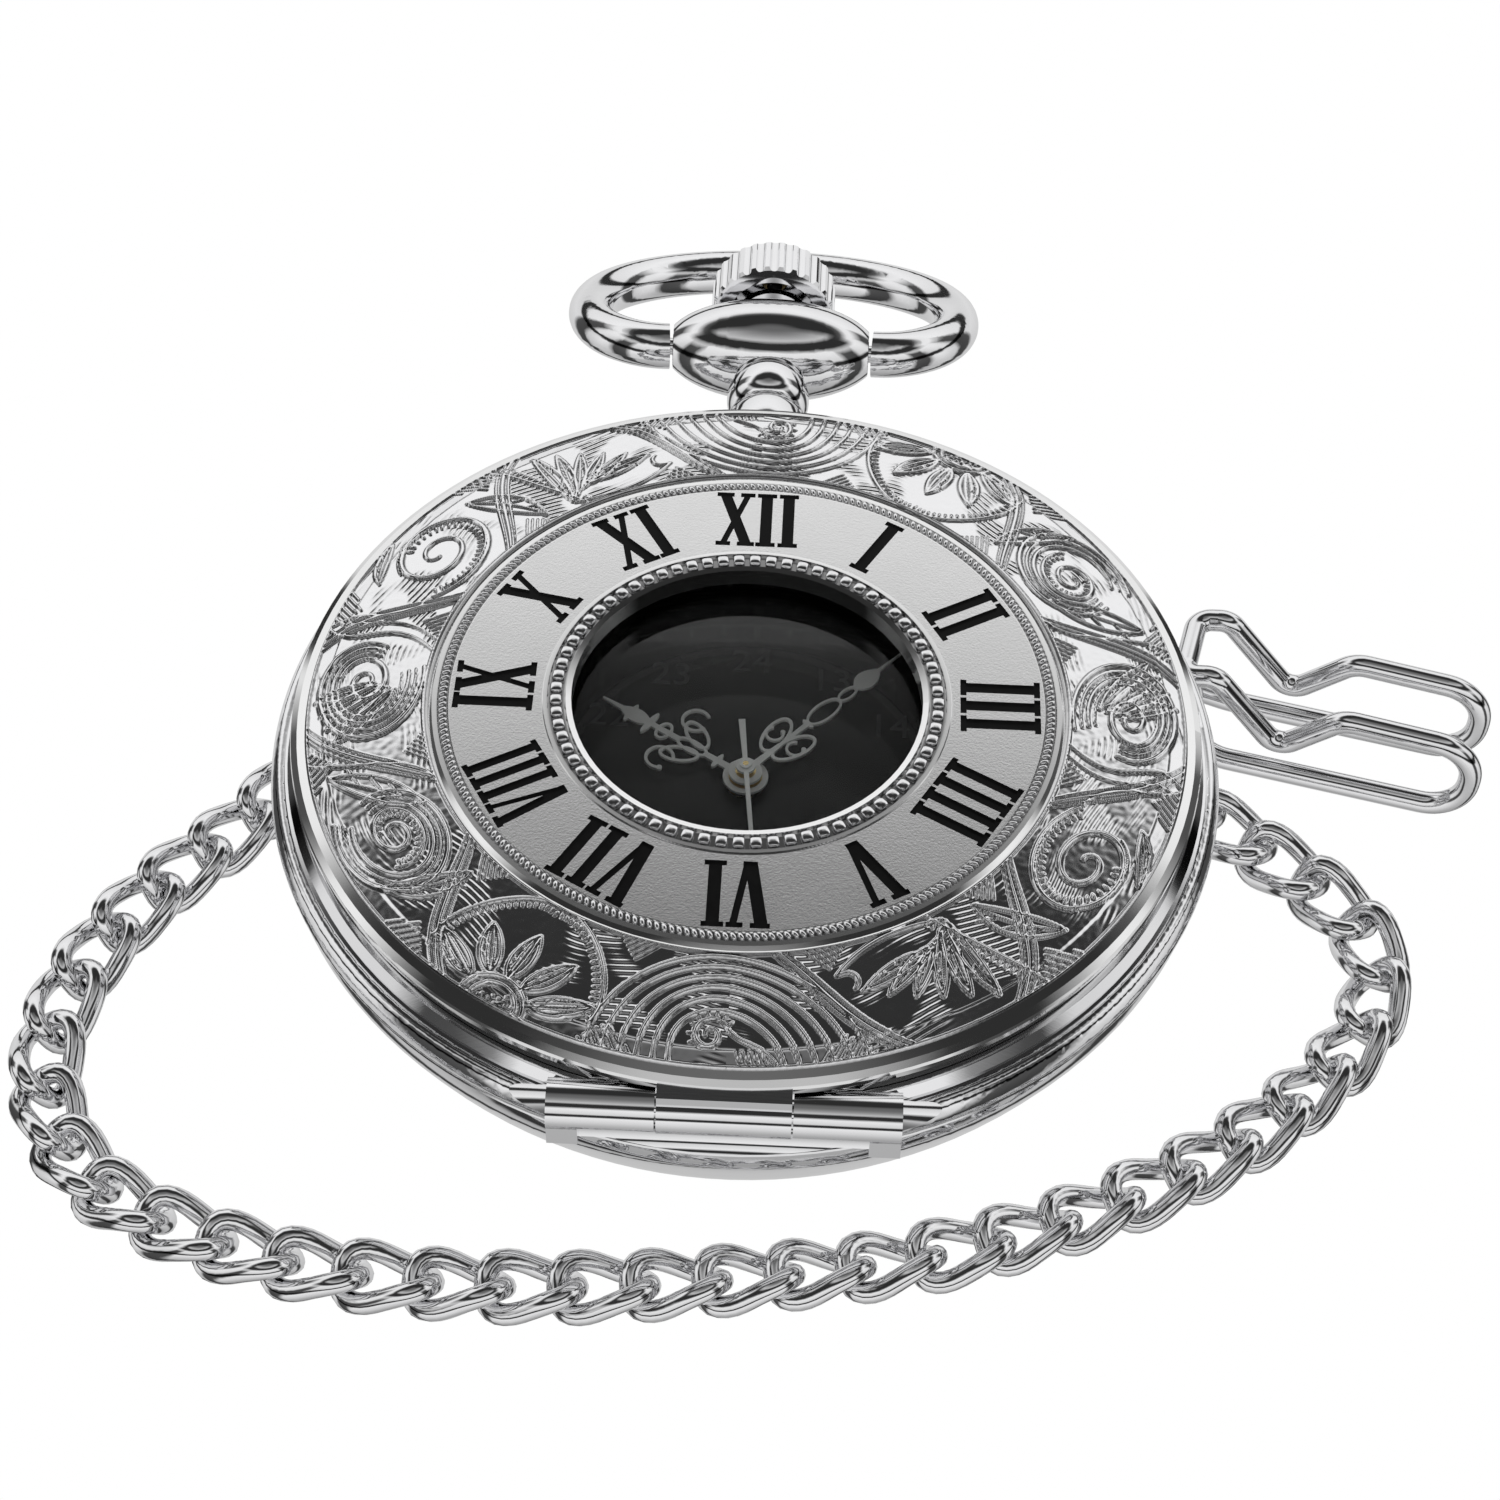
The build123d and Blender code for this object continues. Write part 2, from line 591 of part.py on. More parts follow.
STEM_START = 8.6
GROOVE_Y, GROOVE_L = 11.0, 0.7
SQUARE_END_Y = 10.75
with BuildPart() as stem:
    with BuildSketch(Plane.XZ.offset(-STEM_START)):
        with Locations((0, PENDANT_Z)):
            Rectangle(0.5, 0.5)
    extrude(amount=-(SQUARE_END_Y - STEM_START))
    with BuildSketch(Plane.XZ.offset(-SQUARE_END_Y)):
        with Locations((0, PENDANT_Z)):
            Circle(STEM_R)
    extrude(amount=-(CROWN_Y + 2.2 - SQUARE_END_Y))
    with BuildSketch(Plane.XZ.offset(-GROOVE_Y)):
        with Locations((0, PENDANT_Z)):
            Circle(STEM_R + 0.1)
            Circle(0.27, mode=Mode.SUBTRACT)
    extrude(amount=-GROOVE_L, mode=Mode.SUBTRACT)
    with BuildSketch(Plane.XZ.offset(-20.8)):
        with Locations((0, PENDANT_Z)):
            Circle(0.85)
    extrude(amount=-0.4)
save(stem, "stem")

BOW_WIRE_R = 1.33
BOW_REACH, BOW_END_X = 15.3, 5.95
BOW_OUTLINE = [
    (BOW_END_X, 0), (7.1, 0.1), (8.9, 1.1), (10.5, 3.4), (11.05, 6.6), (10.0, 10.4), (6.2, 13.9),
]
BOW_TILT = -math.degrees(math.asin((PENDANT_Z - BOW_WIRE_R - 0.03) / BOW_REACH))
bow_plane = Plane(origin=(0, BOW_Y, PENDANT_Z)).rotated((BOW_TILT, 0, 0))
BOW_PIN_X, BOW_PIN_L = 4.5, 2.4

with BuildPart() as bow:
    with BuildLine(bow_plane) as bow_line:
        Spline(
            *[(-x, y) for x, y in BOW_OUTLINE],
            (0, BOW_REACH),
            *reversed(BOW_OUTLINE),
        )
    with BuildSketch(Plane(origin=bow_line.line @ 0, z_dir=bow_line.line % 0)):
        Circle(BOW_WIRE_R)
    sweep(path=bow_line.line)
    for side in (-1, 1):
        with BuildSketch(Plane.YZ.offset(side * (BOW_END_X - 0.3))):
            with Locations((BOW_Y, PENDANT_Z)):
                Circle(0.5)
        extrude(amount=side * 1.25, mode=Mode.SUBTRACT)
save(bow, "bow")

with BuildPart() as bow_pins:
    for side in (-1, 1):
        with BuildSketch(Plane.YZ.offset(side * BOW_PIN_X)):
            with Locations((BOW_Y, PENDANT_Z)):
                Circle(0.5)
        extrude(amount=side * BOW_PIN_L)
save(bow_pins, "bow_pins")

# ---------------------------------------------------------------- movement: plates
PLATE_LOW, PLATE_TOP = 5.4, 6.5
BRIDGE_LOW, BRIDGE_TOP = 3.3, 3.8
POST_R = 0.8
POSTS = [(-5.4, 1.6), (4.4, 1.35), (-1.9, -5.3)]
SCREW_R = 0.35
PIVOT_R = 0.12

THIRD_D = 3.06  # centre to third wheel
FIFTH_D = 2.64
ROTOR_D = 2.1
MINUTE_D = 3.0
SETTING_D = 3.25
THIRD_AT, FIFTH_AT, MINUTE_AT = 200, 320, 75
third_c = polar(THIRD_D, THIRD_AT)
fifth_c = polar(FIFTH_D, FIFTH_AT)
rotor_c = polar(FIFTH_D + ROTOR_D, FIFTH_AT)
minute_c = polar(MINUTE_D, MINUTE_AT)
setting_c = (0.0, minute_c[1] + math.sqrt(SETTING_D**2 - minute_c[0] ** 2))
BATTERY_C, BATTERY_R, BATTERY_T = (-8.7, -5.5), 3.4, 2.5
CASE_SCREW_AT = (20, 160, 290)
LEVER_Y = 11.35  # the setting lever lies across the stem here

with BuildPart() as main_plate:
    with BuildSketch(Plane.XY.offset(PLATE_LOW)):
        Circle(MOVEMENT_R)
    extrude(amount=PLATE_TOP - PLATE_LOW)
    with BuildSketch(Plane.XY.offset(PLATE_TOP)):
        Circle(MOVEMENT_R)
        Circle(MOVEMENT_R - 1.1, mode=Mode.SUBTRACT)
    extrude(amount=DIAL_LOW - PLATE_TOP)
    with BuildSketch(Plane.XY.offset(6.0)):
        with Locations((0, 11.0)):
            Rectangle(3.0, 7.4)
        with Locations((2.4, LEVER_Y - 0.2)):
            Rectangle(3.6, 3.2)
    extrude(amount=2, mode=Mode.SUBTRACT)
    with BuildSketch(Plane.XY.offset(PLATE_LOW - 0.1)):
        Circle(CENTRE_TUBE_R + 0.05)
        with Locations(third_c, fifth_c, rotor_c):
            Circle(PIVOT_R + RUN_GAP)
    extrude(amount=PLATE_TOP - PLATE_LOW + 0.2, mode=Mode.SUBTRACT)
    with BuildSketch(Plane.XY.offset(PLATE_LOW - 0.1)):
        with Locations(*POSTS):
            Circle(SCREW_R)
    extrude(amount=1.0, mode=Mode.SUBTRACT)
    # posts that the minute wheel and the setting wheel turn on
    with BuildSketch(Plane.XY.offset(PLATE_TOP)):
        with Locations(minute_c, setting_c):
            Circle(0.3)
    extrude(amount=0.5)
    # feet of the circuit board
    with BuildSketch(Plane.XY.offset(4.9)):
        with Locations((-9.0, 6.0), (9.0, 6.0), (0, 11.5)):
            Circle(0.7)
    extrude(amount=PLATE_LOW - 4.9)
save(main_plate, "main_plate")

with BuildPart() as train_bridge:
    with BuildSketch(Plane.XY.offset(BRIDGE_LOW)):
        with Locations((0.2, -0.9)):
            Circle(5.9)
        with Locations(*POSTS):
            Circle(1.1)
        with Locations(third_c, fifth_c, rotor_c, (0, 0)):
            Circle(PIVOT_R + RUN_GAP, mode=Mode.SUBTRACT)
    extrude(amount=BRIDGE_TOP - BRIDGE_LOW)
    with BuildSketch(Plane.XY.offset(BRIDGE_TOP)):
        with Locations(*POSTS):
            Circle(POST_R)
    extrude(amount=PLATE_LOW - BRIDGE_TOP)
    with BuildSketch(Plane.XY.offset(BRIDGE_LOW)):
        with Locations(*POSTS):
            Circle(SCREW_R)
    extrude(amount=PLATE_LOW - BRIDGE_LOW, mode=Mode.SUBTRACT)
save(train_bridge, "train_bridge")


def slotted_screw(x, y, z_under, head_r, head_t, shank_l):
    """Adds a slotted cheese-head screw, head down and shank up, to the part being built."""
    extrude(disc((x, y), z_under - head_t, head_r), amount=head_t)
    with Locations((x, y, z_under - head_t)):
        Box(3 * head_r, head_r / 3, head_t, mode=Mode.SUBTRACT)
    extrude(disc((x, y), z_under, SCREW_R), amount=shank_l)


with BuildPart() as bridge_screws:
    for x, y in POSTS:
        slotted_screw(x, y, BRIDGE_LOW, 0.75, 0.3, PLATE_LOW - BRIDGE_LOW + 0.7)
save(bridge_screws, "bridge_screws")

# ---------------------------------------------------------------- movement: wheel train
def toothed(centre, z, count, module, phase, bore=0.0, windows=0):
    """A toothed wheel's face, one tooth centred at the phase angle in degrees."""
    pitch_r = count * module / 2
    tip_r, root_r = pitch_r + 0.9 * module, pitch_r - 1.15 * module
    step = 2 * math.pi / count
    points = []
    for k in range(count):
        mid = math.radians(phase) + k * step
        for radius, share in ((root_r, -0.26), (tip_r, -0.12), (tip_r, 0.12), (root_r, 0.26)):
            angle = mid + share * step
            points.append((centre[0] + radius * math.cos(angle), centre[1] + radius * math.sin(angle)))
    with BuildSketch(Plane.XY.offset(z)) as face:
        with BuildLine():
            Polyline(*points, close=True)
        make_face()
        with Locations(centre):
            if bore:
                Circle(bore, mode=Mode.SUBTRACT)
            if windows:
                with PolarLocations(0.62 * pitch_r, windows):
                    Circle(0.24 * pitch_r, mode=Mode.SUBTRACT)
    return face.sketch


def meshing_phase(driver, driver_phase, driven, direction):
    """Phase that puts a gap of the driven wheel on a tooth of its driver."""
    offset = (driver_phase - direction) / (360 / driver)
    return direction + 180 - (360 / driven) * (offset + 0.5)


ORIGIN = (0.0, 0.0)
M_FIFTH, M_SECOND, M_THIRD, M_CENTRE, M_CANNON, M_HOUR = 0.1, 0.11, 0.09, 0.085, 0.125, 0.12
fifth_pinion_phase = meshing_phase(40, 0, 8, FIFTH_AT)
rotor_pinion_phase = meshing_phase(36, 0, 6, FIFTH_AT)
third_wheel_phase = meshing_phase(8, 0, 60, THIRD_AT)
third_pinion_phase = meshing_phase(64, 0, 8, THIRD_AT)
minute_wheel_phase = meshing_phase(12, 0, 36, MINUTE_AT)
minute_pinion_phase = meshing_phase(40, 0, 10, MINUTE_AT)
SETTING_AT = math.degrees(math.atan2(setting_c[1] - minute_c[1], setting_c[0] - minute_c[0]))
setting_wheel_phase = meshing_phase(36, minute_wheel_phase, 16, SETTING_AT)
PIVOT_LOW, PIVOT_HIGH = BRIDGE_LOW + 0.1, PLATE_LOW + 0.5

with BuildPart() as rotor:
    extrude(disc(rotor_c, 4.05, 0.9), amount=4.5 - 4.05)
    extrude(disc(rotor_c, PIVOT_LOW, PIVOT_R), amount=PIVOT_HIGH - PIVOT_LOW)
    extrude(toothed(rotor_c, 4.65, 6, M_FIFTH, rotor_pinion_phase), amount=0.25)
    extrude(disc(rotor_c, 4.45, 0.17), amount=4.7 - 4.45)
save(rotor, "rotor")

with BuildPart() as fifth_wheel:
    extrude(toothed(fifth_c, 4.7, 36, M_FIFTH, 0, windows=4), amount=0.15)
    extrude(disc(fifth_c, PIVOT_LOW, PIVOT_R), amount=PIVOT_HIGH - PIVOT_LOW)
    extrude(toothed(fifth_c, 4.15, 8, M_SECOND, fifth_pinion_phase), amount=0.25)
    extrude(disc(fifth_c, 4.38, 0.3), amount=4.72 - 4.38)
save(fifth_wheel, "fifth_wheel")

with BuildPart() as second_wheel:
    extrude(toothed(ORIGIN, 4.2, 40, M_SECOND, 0, windows=5), amount=0.15)
    extrude(toothed(ORIGIN, 4.45, 8, M_THIRD, 0), amount=0.3)
    extrude(disc(ORIGIN, 4.3, 0.24), amount=4.85 - 4.3)
    extrude(disc(ORIGIN, 3.95, ARBOR_R), amount=SECOND_Z + HAND_T + 0.14 - 3.95)
    extrude(disc(ORIGIN, PIVOT_LOW, PIVOT_R), amount=4.0 - PIVOT_LOW)
save(second_wheel, "second_wheel")

with BuildPart() as third_wheel:
    extrude(toothed(third_c, 4.5, 60, M_THIRD, third_wheel_phase, windows=5), amount=0.15)
    extrude(toothed(third_c, 4.92, 8, M_CENTRE, third_pinion_phase), amount=0.33)
    extrude(disc(third_c, PIVOT_LOW, PIVOT_R), amount=PIVOT_HIGH - PIVOT_LOW)
    extrude(disc(third_c, 4.6, 0.22), amount=4.95 - 4.6)
save(third_wheel, "third_wheel")

with BuildPart() as centre_wheel:
    extrude(toothed(ORIGIN, 5.0, 64, M_CENTRE, 0, bore=0.2), amount=0.2)
    extrude(disc(ORIGIN, 4.92, CENTRE_TUBE_R, 0.2), amount=MINUTE_Z - 4.92)
save(centre_wheel, "centre_wheel")

with BuildPart() as cannon_pinion:
    extrude(toothed(ORIGIN, 6.6, 12, M_CANNON, 0, bore=CENTRE_TUBE_R), amount=0.3)
    extrude(disc(ORIGIN, 6.6, CANNON_R, CENTRE_TUBE_R), amount=MINUTE_Z + HAND_T - 6.6)
save(cannon_pinion, "cannon_pinion")

with BuildPart() as minute_wheel:
    extrude(toothed(minute_c, 6.65, 36, M_CANNON, minute_wheel_phase, bore=0.34), amount=0.2)
    extrude(toothed(minute_c, 6.85, 10, M_HOUR, minute_pinion_phase, bore=0.34), amount=0.5)
save(minute_wheel, "minute_wheel")

with BuildPart() as hour_wheel:
    extrude(toothed(ORIGIN, 7.05, 40, M_HOUR, 0, bore=CANNON_R + RUN_GAP), amount=0.25)
    extrude(disc(ORIGIN, 7.05, HOUR_PIPE_R, CANNON_R + RUN_GAP), amount=HOUR_Z + HAND_T - 7.05)
save(hour_wheel, "hour_wheel")

with BuildPart() as setting_wheel:
    extrude(toothed(setting_c, 6.65, 16, M_CANNON, setting_wheel_phase, bore=0.34), amount=0.2)
save(setting_wheel, "setting_wheel")

CLUTCH_Y, CLUTCH_L, CLUTCH_R = 7.5, 2.7, 0.46
with BuildPart() as clutch_pinion:
    with BuildSketch(Plane.XZ.offset(-CLUTCH_Y)):
        with Locations((0, PENDANT_Z)):
            Circle(CLUTCH_R)
            Rectangle(0.54, 0.54, mode=Mode.SUBTRACT)
    extrude(amount=-CLUTCH_L)
    with BuildSketch(Plane.XZ.offset(-CLUTCH_Y)):
        with Locations((0, PENDANT_Z)):
            with PolarLocations(CLUTCH_R, 10):
                Circle(0.06)
    extrude(amount=-0.5, mode=Mode.SUBTRACT)
save(clutch_pinion, "clutch_pinion")

LEVER_PIVOT = (2.9, LEVER_Y)
with BuildPart() as setting_lever:
    with BuildSketch(Plane.XY.offset(6.05)):
        with Locations(LEVER_PIVOT):
            Circle(0.75)
        with BuildLine():
            Polyline(
                (2.9, LEVER_Y + 0.6), (0, LEVER_Y + 0.2), (-0.2, LEVER_Y), (0, LEVER_Y - 0.2),
                (2.9, LEVER_Y - 0.6), close=True,
            )
        make_face()
        with Locations(LEVER_PIVOT):
            Circle(0.3, mode=Mode.SUBTRACT)
    extrude(amount=0.3)
    with BuildSketch(Plane.XY.offset(6.3)):
        with Locations((0, LEVER_Y)):
            Circle(0.16)
    extrude(amount=0.48)
save(setting_lever, "setting_lever")

with BuildPart() as lever_screw:
    with BuildSketch(Plane.XY.offset(6.0)):
        with Locations(LEVER_PIVOT):
            Circle(0.25)
    extrude(amount=0.4)
    with BuildSketch(Plane.XY.offset(6.4)):
        with Locations(LEVER_PIVOT):
            Circle(0.6)
            Rectangle(1.4, 0.14, mode=Mode.SUBTRACT)
    extrude(amount=0.25)
save(lever_screw, "lever_screw")

# ---------------------------------------------------------------- movement: motor and circuit
MOTOR_DIR = FIFTH_AT  # from the centre out through the rotor
motor_plane = Plane(origin=(rotor_c[0], rotor_c[1], 4.1), x_dir=(*polar(1, MOTOR_DIR + 90), 0), z_dir=(0, 0, 1))
COIL_OUT = 3.6
COIL_HALF = 5.0

with BuildPart() as stator:
    with BuildSketch(motor_plane):
        Rectangle(2 * COIL_HALF + 1.6, 2.6)
        for side in (-1, 1):
            with Locations((side * COIL_HALF, -COIL_OUT / 2)):
                Rectangle(1.6, COIL_OUT + 1.0)
        Circle(1.15, mode=Mode.SUBTRACT)
    extrude(amount=0.3)
save(stator, "stator")

with BuildPart() as coil_core:
    with BuildSketch(motor_plane.offset(0.3)):
        with Locations((0, -COIL_OUT)):
            Rectangle(2 * COIL_HALF + 1.6, 1.0)
    extrude(amount=0.5)
save(coil_core, "coil_core")

with BuildPart() as coil_winding:
    with BuildSketch(motor_plane.offset(-0.35)):
        with Locations((0, -COIL_OUT)):
            RectangleRounded(7.8, 2.0, 0.2)
    extrude(amount=1.6)
    add(coil_core.part, mode=Mode.SUBTRACT)
save(coil_winding, "coil_winding")

BOARD_LOW, BOARD_TOP = 4.6, 4.9
with BuildPart() as circuit_board:
    with BuildSketch(Plane.XY.offset(BOARD_LOW)):
        Circle(12.8)
        with Locations((0, -5.0)):
            Rectangle(30, 18.4, mode=Mode.SUBTRACT)
    extrude(amount=BOARD_TOP - BOARD_LOW)
save(circuit_board, "circuit_board")

with BuildPart() as quartz_can:
    with BuildSketch(Plane.YZ.offset(-8.0)):
        with Locations((6.6, BOARD_LOW - 0.75)):
            Circle(0.75)
    extrude(amount=5.2)
save(quartz_can, "quartz_can")

with BuildPart() as circuit_chip:
    with BuildSketch(Plane.XY.offset(BOARD_LOW - 0.9)):
        with Locations((3.2, 7.2)):
            RectangleRounded(3.0, 2.6, 0.3)
    extrude(amount=0.9)
save(circuit_chip, "circuit_chip")

with BuildPart() as battery:
    with BuildSketch(Plane.XY.offset(PLATE_LOW - BATTERY_T)):
        with Locations(BATTERY_C):
            Circle(BATTERY_R)
    extrude(amount=BATTERY_T)
    chamfer(battery.edges().group_by(Axis.Z)[0], 0.25)
save(battery, "battery")

CLIP_END = (-12.1, 1.2)
with BuildPart() as battery_clip:
    with BuildSketch(Plane.XY.offset(PLATE_LOW - BATTERY_T - 0.25)):
        with BuildLine():
            Polyline((-13.0, 0.9), (-11.2, 1.7), (-7.2, -5.6), (-8.8, -6.6), close=True)
        make_face()
        with Locations(CLIP_END):
            Circle(0.9)
            Circle(SCREW_R, mode=Mode.SUBTRACT)
    extrude(amount=0.25)
save(battery_clip, "battery_clip")

with BuildPart() as battery_clip_post:
    with BuildSketch(Plane.XY.offset(PLATE_LOW - BATTERY_T)):
        with Locations(CLIP_END):
            Circle(0.8)
            Circle(SCREW_R, mode=Mode.SUBTRACT)
    extrude(amount=BATTERY_T)
save(battery_clip_post, "battery_clip_post")

with BuildPart() as battery_clip_screw:
    slotted_screw(*CLIP_END, PLATE_LOW - BATTERY_T - 0.25, 0.7, 0.28, BATTERY_T + 0.25)
save(battery_clip_screw, "battery_clip_screw")

# ---------------------------------------------------------------- movement ring
RING_OUT, RING_FOOT_R = 19.5, 17.3
with BuildPart() as movement_ring:
    with BuildSketch(Plane.XZ):
        with BuildLine():
            Polyline(
                (MOVEMENT_R + 0.05, 5.0), (RING_FOOT_R - 0.6, 5.0), (RING_FOOT_R - 0.6, 3.2), (RING_FOOT_R, 3.2),
                (RING_FOOT_R + 0.6, 4.6), (RING_OUT, 5.4), (RING_OUT, DIAL_LOW), (MOVEMENT_R + 0.05, DIAL_LOW),
                close=True,
            )
        make_face()
    revolve(axis=Axis.Z)
    with BuildSketch(Plane.XY.offset(5.9)):
        with Locations((0, 17)):
            Rectangle(2.6, 8)
    extrude(amount=2, mode=Mode.SUBTRACT)
    with BuildSketch(Plane.XY.offset(4.9)):
        for angle in CASE_SCREW_AT:
            with Locations(polar(15.2, angle)):
                Circle(SCREW_R)
    extrude(amount=1.6, mode=Mode.SUBTRACT)
save(movement_ring, "movement_ring")

with BuildPart() as case_clamps:
    with BuildSketch(Plane.XY.offset(4.75)):
        for angle in CASE_SCREW_AT:
            with Locations(Location(polar(14.6, angle), angle)):
                RectangleRounded(3.2, 1.8, 0.5)
            with Locations(polar(15.2, angle)):
                Circle(SCREW_R, mode=Mode.SUBTRACT)
    extrude(amount=0.25)
save(case_clamps, "case_clamps")

with BuildPart() as case_screws:
    for angle in CASE_SCREW_AT:
        slotted_screw(*polar(15.2, angle), 4.75, 0.7, 0.35, 1.6)
save(case_screws, "case_screws")

# ---------------------------------------------------------------- chain and its fittings
CLIP_WIRE_R = 0.6
CLIP_HALF = 2.15
CLIP_ANGLE = -13.6
clip_plane = Plane(origin=(22.7, 12.6, 0), x_dir=(*polar(1, CLIP_ANGLE), 0), z_dir=(0, 0, 1))
with BuildPart() as belt_clip:
    with BuildLine(clip_plane) as clip_line:
        FilletPolyline(
            (0, 0, 1.9), (0, -1.4, 1.9), (3.2, -CLIP_HALF, CLIP_WIRE_R),
            (16.5, -CLIP_HALF, CLIP_WIRE_R), (16.5, -CLIP_HALF, 5.3), (9.4, -CLIP_HALF, 5.5),
            (6.3, -CLIP_HALF, 2.4), (2.4, -CLIP_HALF, 6.7), (0.7, -CLIP_HALF, 6.3), (0.7, 0, 6.3),
            radius=[1.0, 3.0, 2.2, 2.2, 1.6, 1.0, 0.9, 0.8],
        )
    with BuildSketch(Plane(origin=clip_line.line @ 0, z_dir=clip_line.line % 0)):
        Circle(CLIP_WIRE_R)
    sweep(path=clip_line.line)
    mirror(about=Plane(origin=clip_plane.origin, x_dir=clip_plane.x_dir, z_dir=clip_plane.y_dir))
save(belt_clip, "belt_clip")

LINK_WIRE_R = 0.42
RING_R = 2.2
# a ring that stands across the clip's eye
clip_ring_c = clip_plane.from_local_coords((-0.75, 0, RING_R + LINK_WIRE_R))
with BuildPart() as clip_ring:
    with BuildSketch(Plane(origin=clip_ring_c, x_dir=clip_plane.x_dir, z_dir=(0, 0, 1))):
        with Locations((RING_R, 0)):
            Circle(LINK_WIRE_R)
    revolve(axis=Axis(clip_ring_c, clip_plane.y_dir))
save(clip_ring, "clip_ring")

CLASP_R, CLASP_WIRE_R, CLASP_BORE_R, GATE_R = 2.9, 0.75, 0.42, 0.36
CLASP_C = (15.0, 22.3)
CLASP_EYE_AT = 151.4  # direction from the clasp to the chain
EYE_REACH, EYE_R, EYE_HOLE_R = 4.17, 1.12, 0.62
EYE_LOW, EYE_T = 0.85, 0.45
GAP_FROM, GAP_ARC = 300, 55
CLASP_RING_R, CLASP_RING_WIRE_R = 1.3, 0.35


def clasp_section(angle):
    """The upright plane that cuts the clasp's ring at an angle."""
    return Plane(
        origin=(CLASP_C[0], CLASP_C[1], CLASP_WIRE_R),
        x_dir=(*polar(1, angle), 0),
        z_dir=(*polar(1, angle - 90), 0),
    )


clasp_axis = Axis((CLASP_C[0], CLASP_C[1], 0), (0, 0, 1))
with BuildPart() as clasp_body:
    with BuildSketch(clasp_section(GAP_FROM + GAP_ARC)):
        with Locations((CLASP_R, 0)):
            Circle(CLASP_WIRE_R)
            Circle(CLASP_BORE_R, mode=Mode.SUBTRACT)
    revolve(axis=clasp_axis, revolution_arc=360 - GAP_ARC)
    # slot that the gate's thumb piece runs in
    with BuildSketch(clasp_section(GAP_FROM - 75)):
        with Locations((CLASP_R + 0.6, 0)):
            Rectangle(1.2, 0.5)
    revolve(axis=clasp_axis, revolution_arc=67, mode=Mode.SUBTRACT)
    # eye for the chain's ring
    with BuildSketch(Plane.XY.offset(EYE_LOW)):
        with Locations(polar_from(CLASP_C, EYE_REACH, CLASP_EYE_AT)):
            Circle(EYE_R)
            Circle(EYE_HOLE_R, mode=Mode.SUBTRACT)
        with Locations(CLASP_C):
            Circle(CLASP_R + CLASP_BORE_R + 0.05, mode=Mode.SUBTRACT)
    extrude(amount=EYE_T)
save(clasp_body, "clasp_body")

with BuildPart() as clasp_gate:
    with BuildSketch(clasp_section(GAP_FROM - 20)):
        with Locations((CLASP_R, 0)):
            Circle(GATE_R)
    revolve(axis=clasp_axis, revolution_arc=GAP_ARC + 26)
    with BuildSketch(clasp_section(GAP_FROM - 16)):
        with Locations((CLASP_R + 0.75, 0)):
            Rectangle(1.1, 0.4)
    revolve(axis=clasp_axis, revolution_arc=5)
save(clasp_gate, "clasp_gate")

clasp_ring_at = polar_from(CLASP_C, EYE_REACH + 1.09, CLASP_EYE_AT)
clasp_ring_c = Vector(*clasp_ring_at, CLASP_RING_R + CLASP_RING_WIRE_R)
with BuildPart() as clasp_ring:
    with BuildSketch(Plane(origin=clasp_ring_c, x_dir=(*polar(1, CLASP_EYE_AT), 0), z_dir=(0, 0, 1))):
        with Locations((CLASP_RING_R, 0)):
            Circle(CLASP_RING_WIRE_R)
    revolve(axis=Axis(clasp_ring_c, (*polar(1, CLASP_EYE_AT + 90), 0)))
save(clasp_ring, "clasp_ring")

CHAIN_D = 3.8
CHAIN_Z = CHAIN_D / 2
CHAIN_ROUTE = [
    (9.6, 25.2), (2.7, 27.0), (-4.8, 26.3), (-11.6, 23.1), (-17.1, 18.3), (-21.0, 12.4),
    (-23.1, 6.8), (-25.7, 1.8), (-29.8, -2.7), (-33.2, -8.5), (-34.0, -15.2), (-30.8, -21.0),
    (-24.3, -24.2), (-16.0, -25.8), (-7.3, -25.8), (1.5, -24.8), (10.4, -23.2), (18.9, -19.8),
    (25.9, -15.3), (31.2, -9.8), (32.8, -4.8), (30.9, -0.9), (27.3, 2.3), (24.3, 4.6),
    (21.6, 7.3), (19.9, 10.4), (19.5, 13.9),
]


def turn_at(before, corner, after):
    """How far a route turns at a corner, in degrees."""
    arriving = Vector(*corner) - Vector(*before)
    leaving = Vector(*after) - Vector(*corner)
    return arriving.get_angle(leaving)


def bend_radii(points):
    """The largest arc that each corner of a route has room for."""
    radii = []
    for before, corner, after in zip(points, points[1:], points[2:]):
        shorter = min(math.dist(before, corner), math.dist(corner, after))
        half_turn = math.radians(turn_at(before, corner, after)) / 2
        radii.append(0.45 * shorter / math.tan(half_turn))
    return radii


chain_radii = bend_radii(CHAIN_ROUTE)
print("chain bend radii, mm:", [round(r, 1) for r in chain_radii])

with BuildPart() as chain:
    with BuildLine(Plane.XY.offset(CHAIN_Z)) as chain_line:
        FilletPolyline(*CHAIN_ROUTE, radius=chain_radii)
    with BuildSketch(Plane(origin=chain_line.line @ 0, z_dir=chain_line.line % 0)):
        Circle(CHAIN_D / 2)
    sweep(path=chain_line.line)
    add(clip_ring.part, mode=Mode.SUBTRACT)
    add(clasp_ring.part, mode=Mode.SUBTRACT)
chain_length = chain_line.wire().length
chain_volume = chain_length * math.pi * (CHAIN_D / 2) ** 2
print("chain length, mm:", round(chain_length, 1), "volume ratio:", round(chain.part.volume / chain_volume, 4))
save(chain, "chain")
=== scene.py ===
import json
import math
import random

import bpy
import numpy as np
from mathutils import Matrix, Vector, kdtree, noise


